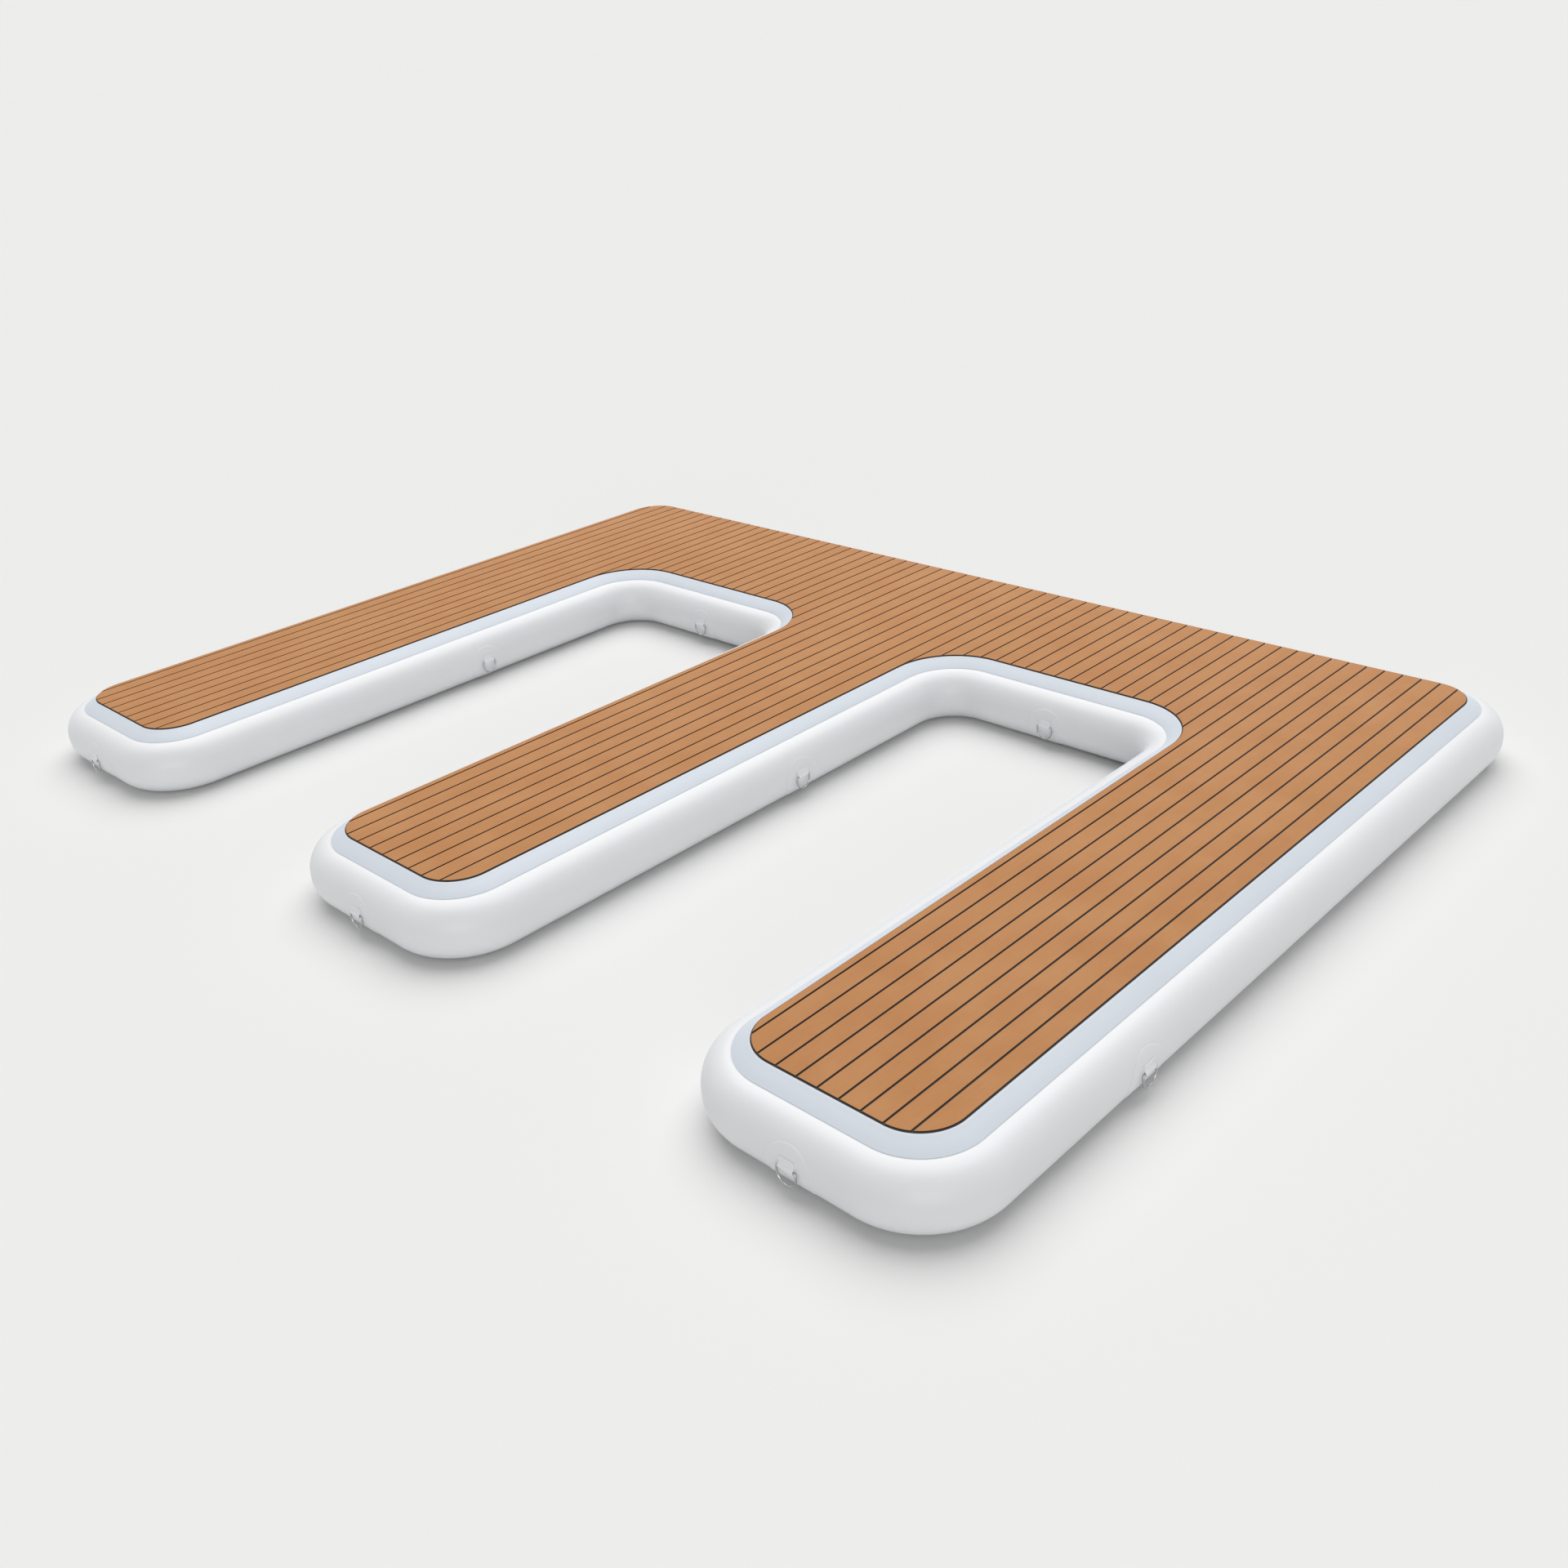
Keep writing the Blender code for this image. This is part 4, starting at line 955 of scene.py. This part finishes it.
def strap_faces():
    """The strap's two faces: its line moved to each side by half its thickness, at places across its width.
    At its edges the thickness falls to STRAP_EDGE_SHARE, as a sine."""
    line = strap_line()
    side = to_right(tangents(line))
    angle = np.linspace(0, math.pi / 2, STRAP_EDGE_STEPS)
    half = STRAP_THICKNESS / 2
    edge = STRAP_WIDTH / 2 - half * (1 - np.cos(angle))
    across = np.concatenate([-edge, edge[::-1]])[:, None, None]
    sine = np.sin(np.concatenate([angle, angle[::-1]]))
    depth = (half * (STRAP_EDGE_SHARE + (1 - STRAP_EDGE_SHARE) * sine))[:, None, None]
    across = np.broadcast_to(across, (len(across), len(line), 1))
    return [np.concatenate([across, line + way * side * depth], axis=2) for way in (1, -1)]


STRAP_SHAPE = strap_faces()
for ring_name, ring_joint in RING_JOINTS.items():
    patch = filled_sheet(placed(PATCH_SHAPE, ring_joint))
    strap = shell_strip(*(placed(face, ring_joint) for face in STRAP_SHAPE), tint=1)
    add_piece("patch_" + ring_name, [patch, strap], [WALL_FABRIC, STRAP_FABRIC], "float",
              ["ring_patch_" + ring_name])

# %% [markdown]
# ## The valve
#
# The valve's pieces are turned: a profile of radius and height is swept once round the valve's axis.
# A piece with a hole is a closed profile. A piece without one is a stack of rings, filled at both
# ends. Heights are measured from the wall's outer face.

# %% Helpers for turned pieces
TURN_STEPS = 144
MOULD_EDGE = 0.0005
EDGE_SHARE = 0.4


def softened(profile, closed=True, steps=3):
    """The profile with each corner cut back by MOULD_EDGE, by EDGE_SHARE of a side at most, and bridged by a
    curve, (1 - t)^2 start + 2t(1 - t) corner + t^2 end. An open profile keeps its two ends."""
    profile = np.asarray(profile, float)
    before, after = np.roll(profile, 1, axis=0) - profile, np.roll(profile, -1, axis=0) - profile
    size_before, size_after = (np.linalg.norm(side, axis=1)[:, None] for side in (before, after))
    reach = np.minimum(MOULD_EDGE, EDGE_SHARE * np.minimum(size_before, size_after))
    start = profile + before / size_before * reach
    end = profile + after / size_after * reach
    t = np.linspace(0, 1, steps + 1)[None, :, None]
    curve = (1 - t) ** 2 * start[:, None] + 2 * t * (1 - t) * profile[:, None] + t * t * end[:, None]
    if closed:
        return curve.reshape(-1, 2)
    return np.concatenate([profile[:1], curve[1:-1].reshape(-1, 2), profile[-1:]])


def swept(profile, ripple=None):
    """The profile's points at every angle round the axis. ripple(radius, height, angle) may change them."""
    angle = all_round(TURN_STEPS)[:, None]
    radius = np.broadcast_to(profile[:, 0], (len(angle), len(profile)))
    height = np.broadcast_to(profile[:, 1], radius.shape)
    if ripple:
        radius = ripple(radius, height, angle)
    return np.stack([radius * np.cos(angle), height, radius * np.sin(angle)], axis=-1) + VALVE_PLACE


def turned_ring(profile, ripple=None):
    points = swept(softened(profile), ripple)
    return solid(points, [grid_quads(*points.shape[:2], close_rows=True, close_columns=True)])


def turned_plug(profile):
    """A turned piece with no hole: its profile's first and last circles are filled."""
    return filled_sheet(swept(softened(profile, closed=False)).transpose(1, 0, 2))


def ring_profile(inner, outer, low, high):
    return [(inner, low), (outer, low), (outer, high), (inner, high)]


print("turned pieces have", TURN_STEPS, "steps round their axis, at", VALVE_PLACE)

# %% [markdown]
# ### The valve's body, gasket and nut
#
# The body is a flange, a sleeve and a seat in one. The web across its bore is a hub, an outer ring and the
# spokes that six round windows leave between them. The gasket lies under the flange, and the nut pulls
# it against the wall from inside. The nut's notches are for a wrench.

# %% Build the valve's fixed pieces
GASKET_THICKNESS = 0.0015
FLANGE_RADIUS, FLANGE_THICKNESS = 0.03, 0.003
SLEEVE_RADIUS, BORE_RADIUS, SLEEVE_DEPTH = 0.0225, 0.0195, 0.032
SEAT_RADIUS, SEAT_THICKNESS = 0.0135, 0.003
WEB_DEPTH, WEB_THICKNESS = 0.018, 0.0025
WINDOWS, WINDOW_RADIUS, WINDOW_CIRCLE_RADIUS = 6, 0.0042, 0.0125
SPOKE_STEPS = 12
STEM_RADIUS, STEM_GAP = 0.0035, 0.0004
NUT_RADIUS, NUT_THICKNESS, NUT_WASHER = 0.0295, 0.009, 0.0012
NUT_NOTCHES, NUT_NOTCH_RADIUS = 8, 0.003
FLANGE_BOTTOM = 2 * CLEARANCE + GASKET_THICKNESS
FLANGE_TOP = FLANGE_BOTTOM + FLANGE_THICKNESS
WEB_TOP, WEB_BOTTOM = -WEB_DEPTH, -WEB_DEPTH - WEB_THICKNESS
NUT_TOP = -FABRIC_THICKNESS - CLEARANCE
NUT_PROFILE = [
    (SLEEVE_RADIUS + CLEARANCE, NUT_TOP - NUT_THICKNESS), (NUT_RADIUS, NUT_TOP - NUT_THICKNESS),
    (NUT_RADIUS, NUT_TOP - NUT_WASHER), (NUT_RADIUS, NUT_TOP), (SLEEVE_RADIUS + CLEARANCE, NUT_TOP),
]
GASKET_PROFILE = ring_profile(SLEEVE_RADIUS + 2 * CLEARANCE, FLANGE_RADIUS, CLEARANCE,
                              CLEARANCE + GASKET_THICKNESS)


def web_spokes():
    """The spokes between the windows. At a reach r a window of radius w, on a circle of radius c, takes
    acos((r^2 + c^2 - w^2) / 2rc) on each side of its middle, and the spoke has the rest."""
    first, last = WINDOW_CIRCLE_RADIUS - WINDOW_RADIUS, WINDOW_CIRCLE_RADIUS + WINDOW_RADIUS
    reach = np.linspace(first + CLEARANCE / 2, last - CLEARANCE / 2, SPOKE_STEPS)[:, None]
    squares = reach ** 2 + WINDOW_CIRCLE_RADIUS ** 2 - WINDOW_RADIUS ** 2
    half = math.pi / WINDOWS - np.arccos(squares / (2 * reach * WINDOW_CIRCLE_RADIUS))
    height = np.broadcast_to([WEB_TOP, WEB_TOP, WEB_BOTTOM, WEB_BOTTOM], (SPOKE_STEPS, 4))
    spokes = []
    for index in range(WINDOWS):
        angle = (2 * index + 1) * math.pi / WINDOWS + half * np.array([-1, 1, 1, -1])
        points = np.stack([reach * np.cos(angle), height, reach * np.sin(angle)], axis=-1) + VALVE_PLACE
        spokes.append(filled_sheet(points))
    return spokes


def valve_body():
    """Flange, sleeve and seat in one, the web's hub and outer ring, and its spokes."""
    shell = [
        (BORE_RADIUS, FLANGE_TOP), (FLANGE_RADIUS, FLANGE_TOP), (FLANGE_RADIUS, FLANGE_BOTTOM),
        (SLEEVE_RADIUS, FLANGE_BOTTOM), (SLEEVE_RADIUS, -SLEEVE_DEPTH), (SEAT_RADIUS, -SLEEVE_DEPTH),
        (SEAT_RADIUS, SEAT_THICKNESS - SLEEVE_DEPTH), (BORE_RADIUS, SEAT_THICKNESS - SLEEVE_DEPTH),
    ]
    hub_edge = WINDOW_CIRCLE_RADIUS - WINDOW_RADIUS + CLEARANCE
    ring_edge = WINDOW_CIRCLE_RADIUS + WINDOW_RADIUS - CLEARANCE
    hub = ring_profile(STEM_RADIUS + STEM_GAP, hub_edge, WEB_BOTTOM, WEB_TOP)
    outer_ring = ring_profile(ring_edge, BORE_RADIUS + CLEARANCE, WEB_BOTTOM, WEB_TOP)
    return [turned_ring(profile) for profile in (shell, hub, outer_ring)] + web_spokes()


def notched(radius, height, angle):
    """Round notches down the nut's rim: c cos(a) - sqrt(w^2 - c^2 sin(a)^2) is a notch's edge at an angle a
    from its middle, where its circle has the radius w and its middle lies c from the axis."""
    pitch = 2 * math.pi / NUT_NOTCHES
    away = (angle + pitch / 2) % pitch - pitch / 2
    inside = NUT_NOTCH_RADIUS ** 2 - (NUT_RADIUS * np.sin(away)) ** 2
    edge = np.where(inside > 0, NUT_RADIUS * np.cos(away) - np.sqrt(np.maximum(inside, 0)), NUT_RADIUS)
    washer = height > -FABRIC_THICKNESS - CLEARANCE - NUT_WASHER
    return np.where(washer, radius, np.minimum(radius, edge))


def add_moulding(node, solids, finish, body):
    add_piece(node + "_moulding", solids, [finish], body, [node])


add_moulding("valve_gasket", [turned_ring(GASKET_PROFILE)], SEAL_RUBBER, "float")
add_moulding("valve_body", valve_body(), VALVE_NYLON, "float")
add_moulding("valve_nut", [turned_ring(NUT_PROFILE, notched)], VALVE_NYLON, "float")

# %% [markdown]
# ### The plunger, its seal and the cap
#
# A push on the plunger's button lifts the seal on its head off the seat, and the air comes out. The cap's
# skirt goes into the bore, and the bar on it is for the fingers. Plunger and cap ride on bodies of their
# own, so that the joints can move them.

# %% Build the valve's moving pieces
BUTTON_RADIUS, BUTTON_THICKNESS, BUTTON_DEPTH = 0.0075, 0.003, 0.001
HEAD_RADIUS, HEAD_THICKNESS, SEAL_THICKNESS = 0.0175, 0.002, 0.002
CAP_RADIUS, CAP_THICKNESS = 0.0265, 0.003
SKIRT_GAP, SKIRT_WALL, SKIRT_DEPTH = 0.0005, 0.0025, 0.009
GRIP_LENGTH, GRIP_WIDTH, GRIP_HEIGHT = 0.036, 0.006, 0.0035
GRIP_END_STEPS = 16
SEAL_TOP = -SLEEVE_DEPTH - CLEARANCE
SEAL_PROFILE = ring_profile(STEM_RADIUS + CLEARANCE, HEAD_RADIUS, SEAL_TOP - SEAL_THICKNESS, SEAL_TOP)


def plunger():
    """Button, stem and head, from the button's top to the head's underside."""
    button_top, head_top = -BUTTON_DEPTH, -SLEEVE_DEPTH - SEAL_THICKNESS - 2 * CLEARANCE
    return turned_plug([
        (BUTTON_RADIUS - 2 * MOULD_EDGE, button_top), (BUTTON_RADIUS, button_top),
        (BUTTON_RADIUS, button_top - BUTTON_THICKNESS), (STEM_RADIUS, button_top - BUTTON_THICKNESS),
        (STEM_RADIUS, head_top), (HEAD_RADIUS, head_top), (HEAD_RADIUS, head_top - HEAD_THICKNESS),
        (HEAD_RADIUS - 2 * MOULD_EDGE, head_top - HEAD_THICKNESS),
    ])


def grip_bar(bottom, top):
    """The bar on the cap: an outline with round ends, stacked along the valve's axis with a rounded top."""
    turn = np.linspace(-math.pi / 2, math.pi / 2, GRIP_END_STEPS)
    half_width = GRIP_WIDTH / 2
    middle = GRIP_LENGTH / 2 - half_width
    end = np.stack([middle + half_width * np.cos(turn), half_width * np.sin(turn)], axis=1)
    points, faces, _ = slab(np.concatenate([end, -end]), bottom, top, 2 * MOULD_EDGE, 0)
    return solid(points[:, (0, 2, 1)] + VALVE_PLACE, faces)


def cap():
    """The cap's disc and skirt, and its bar."""
    bottom = FLANGE_TOP + CLEARANCE
    top = bottom + CAP_THICKNESS
    skirt = BORE_RADIUS - SKIRT_GAP
    disc = turned_plug([
        (CAP_RADIUS - 4 * MOULD_EDGE, top), (CAP_RADIUS - MOULD_EDGE, top - MOULD_EDGE / 2),
        (CAP_RADIUS, bottom), (skirt, bottom), (skirt, FLANGE_TOP - SKIRT_DEPTH),
        (skirt - SKIRT_WALL, FLANGE_TOP - SKIRT_DEPTH), (skirt - SKIRT_WALL, bottom),
        (skirt - SKIRT_WALL - MOULD_EDGE, bottom),
    ])
    return [disc, grip_bar(bottom + CAP_THICKNESS / 2, top + GRIP_HEIGHT)]


add_moulding("valve_plunger", [plunger()], VALVE_NYLON, "valve_plunger")
add_moulding("valve_seal", [turned_ring(SEAL_PROFILE)], SEAL_RUBBER, "valve_plunger")
add_moulding("valve_cap", cap(), VALVE_NYLON, "valve_cap")

# %% [markdown]
# ## The valve's hole
#
# The valve's sleeve goes through a round hole that is punched in the back wall's fabric. The wall is one
# grid with no place for a hole, so a turned plug is taken away from it by a boolean modifier. The result
# becomes the wall's own mesh at once, and the plug goes.

# %% Cut the hole
HOLE_RADIUS = SLEEVE_RADIUS + 2 * CLEARANCE
HOLE_REACH = 0.02


def cut_hole(wall):
    points, faces, _ = turned_plug([(HOLE_RADIUS, -HOLE_REACH), (HOLE_RADIUS, HOLE_REACH)])
    plug = new_mesh_object("hole_plug", points.tolist(), [face for group in faces for face in group.tolist()])
    cut = wall.modifiers.new("valve hole", "BOOLEAN")
    cut.operation, cut.solver, cut.object = "DIFFERENCE", "EXACT", plug
    bpy.context.view_layer.update()
    wall.data = bpy.data.meshes.new_from_object(wall.evaluated_get(bpy.context.evaluated_depsgraph_get()))
    wall.modifiers.clear()
    bpy.data.objects.remove(plug)
    print("the back wall has", len(wall.data.polygons), "faces with its hole")


cut_hole(bpy.data.objects["back_wall_fabric"])

# %% [markdown]
# ## The valve's spring
#
# The spring stands on the web and lifts the button. It is wound from round wire, with its last turn at
# each end closed up, so that it stands straight. A circle is carried along the helix. No joint can carry
# the spring, for the real one is squashed towards the web as the button goes in. Here it is built at rest,
# on the float's body, with a mesh of its own.

# %% Build the spring
SPRING_RADIUS = 0.0054
SPRING_WIRE_RADIUS = 0.0005
SPRING_TURNS = 5.5
SPRING_END_PITCH = 0.00115
SPRING_STEPS = 264
SPRING_WIRE_SIDES = 12
SPRING_LOW = WEB_TOP + CLEARANCE
SPRING_HIGH = -BUTTON_DEPTH - BUTTON_THICKNESS - CLEARANCE


def spring_coil():
    """The helix (r cos a, height, r sin a), slow in its first and last turn. Each wire circle is spanned by
    the radial direction and by the one that is square to it and to the wire."""
    turn = np.linspace(0, SPRING_TURNS, SPRING_STEPS + 1)
    low, high = SPRING_LOW + SPRING_WIRE_RADIUS, SPRING_HIGH - SPRING_WIRE_RADIUS
    height = np.interp(turn, [0, 1, SPRING_TURNS - 1, SPRING_TURNS],
                       [low, low + SPRING_END_PITCH, high - SPRING_END_PITCH, high])
    angle = 2 * math.pi * turn
    radial = np.stack([np.cos(angle), np.zeros_like(angle), np.sin(angle)], axis=1)
    line = SPRING_RADIUS * radial
    line[:, 1] = height
    across = np.cross(tangents(line), radial)
    side = all_round(SPRING_WIRE_SIDES)
    circle = radial[:, None] * np.cos(side)[None, :, None] + across[:, None] * np.sin(side)[None, :, None]
    return filled_sheet(line[:, None] + SPRING_WIRE_RADIUS * circle + VALVE_PLACE)


spring = add_piece("valve_spring_coil", [spring_coil()], [STEEL], "float", ["valve_spring"])
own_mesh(spring)

# %% [markdown]
# ## Floor and light
#
# The dock lies on a plain pale floor. A white world gives the soft light from all round. A wide lamp from
# above and behind adds a direction, and a weaker one, low on the camera's side, lights the near walls. What
# the camera and the steel see of the world is the floor's own colour, so the floor seems to have no end.
# It lies a little lower than the dock's underside, so that the two faces don't fall together.

# %% Stage
FLOOR_SIZE = 400.0
FLOOR_DROP = 0.0005
FLOOR_COLOUR = "#EDEDEC"
FLOOR_ROUGHNESS = 0.9
WORLD_STRENGTH = 0.25
LAMPS = {
    "high_lamp": (2.42, 70, (-20, -16, 0)),
    "low_lamp": (0.9, 40, (80, 0, 45)),
}


def add_floor():
    half = FLOOR_SIZE / 2
    corners = [(x, y, -FLOOR_DROP) for x, y in ((-half, -half), (half, -half), (half, half), (-half, half))]
    floor = new_mesh_object("studio_floor", corners, [(0, 1, 2, 3)])
    material, tree, shader = new_material("painted floor", FLOOR_ROUGHNESS)
    set_sockets(tree, shader, Base_Color=linear(FLOOR_COLOUR), Specular_IOR_Level=0.0)
    floor.data.materials.append(material)


def add_world():
    """White light for all rays but those that the eye follows, straight, mirrored or through: these see the
    floor's colour."""
    world = bpy.data.worlds.new("studio")
    world.use_nodes = True
    tree = world.node_tree
    tree.nodes.clear()
    seen = 0.0
    for ray in ("Is Camera Ray", "Is Glossy Ray", "Is Transmission Ray"):
        seen = calculated(tree, "MAXIMUM", seen, add_node(tree, "ShaderNodeLightPath", ray))
    light, shown = (add_node(tree, "ShaderNodeBackground", "Background", Color=colour, Strength=strength)
                    for colour, strength in (((1, 1, 1, 1), WORLD_STRENGTH), (linear(FLOOR_COLOUR), 1.0)))
    mixed = add_node(tree, "ShaderNodeMixShader", "Shader", _0=seen, _1=light, _2=shown)
    set_sockets(tree, tree.nodes.new("ShaderNodeOutputWorld"), Surface=mixed)
    bpy.context.scene.world = world


def add_lamp(name, strength, spread, turn):
    """A lamp far away that looks down its own -Z, turned and spread by so many degrees, for soft shadows."""
    data = bpy.data.lights.new(name, "SUN")
    data.energy = strength
    data.angle = math.radians(spread)
    new_object(name, data).rotation_euler = [math.radians(angle) for angle in turn]
    print(name, "has a strength of", strength)


add_floor()
add_world()
for lamp_name, lamp_values in LAMPS.items():
    add_lamp(lamp_name, *lamp_values)
bpy.context.scene.view_settings.view_transform = "Standard"

# %% [markdown]
# ## The camera
#
# These values come from a camera fitted to the deck's edges in the photograph. It looks at a point on the
# deck, from a direction and a distance, and is rolled a little about its own axis. The focal length is in
# the photo's pixels, which the sensor's width turns to millimetres.

# %% Camera
CAMERA_AZIMUTH = 44.884
CAMERA_ELEVATION = 26.820
CAMERA_ROLL = -3.723
CAMERA_DISTANCE = 6.58993
CAMERA_TARGET = (0.86873, -0.58321)
PHOTO_WIDTH = 1920
FOCAL_PIXELS = 1858.22
SENSOR_WIDTH = 36.0


def add_camera():
    """The camera's axis is given by its azimuth and elevation, and the camera is rolled about it."""
    azimuth, elevation, roll = (math.radians(a) for a in (CAMERA_AZIMUTH, CAMERA_ELEVATION, CAMERA_ROLL))
    back = Vector((math.sin(azimuth) * math.cos(elevation), -math.cos(azimuth) * math.cos(elevation),
                   math.sin(elevation)))
    level = Vector((0, 0, 1)).cross(back).normalized()
    upright = back.cross(level)
    right = level * math.cos(roll) + upright * math.sin(roll)
    up = upright * math.cos(roll) - level * math.sin(roll)
    data = bpy.data.cameras.new("camera")
    data.sensor_width = SENSOR_WIDTH
    data.sensor_fit = "HORIZONTAL"
    data.lens = SENSOR_WIDTH * FOCAL_PIXELS / PHOTO_WIDTH
    data.clip_end = FLOOR_SIZE
    camera = new_object("camera", data)
    place = Vector((*CAMERA_TARGET, DECK_TOP)) + back * CAMERA_DISTANCE
    camera.matrix_world = Matrix.Translation(place) @ Matrix((right, up, back)).transposed().to_4x4()
    bpy.context.scene.camera = camera
    print("camera at", [round(value, 3) for value in place], "with a lens of", round(data.lens, 2), "mm")


add_camera()
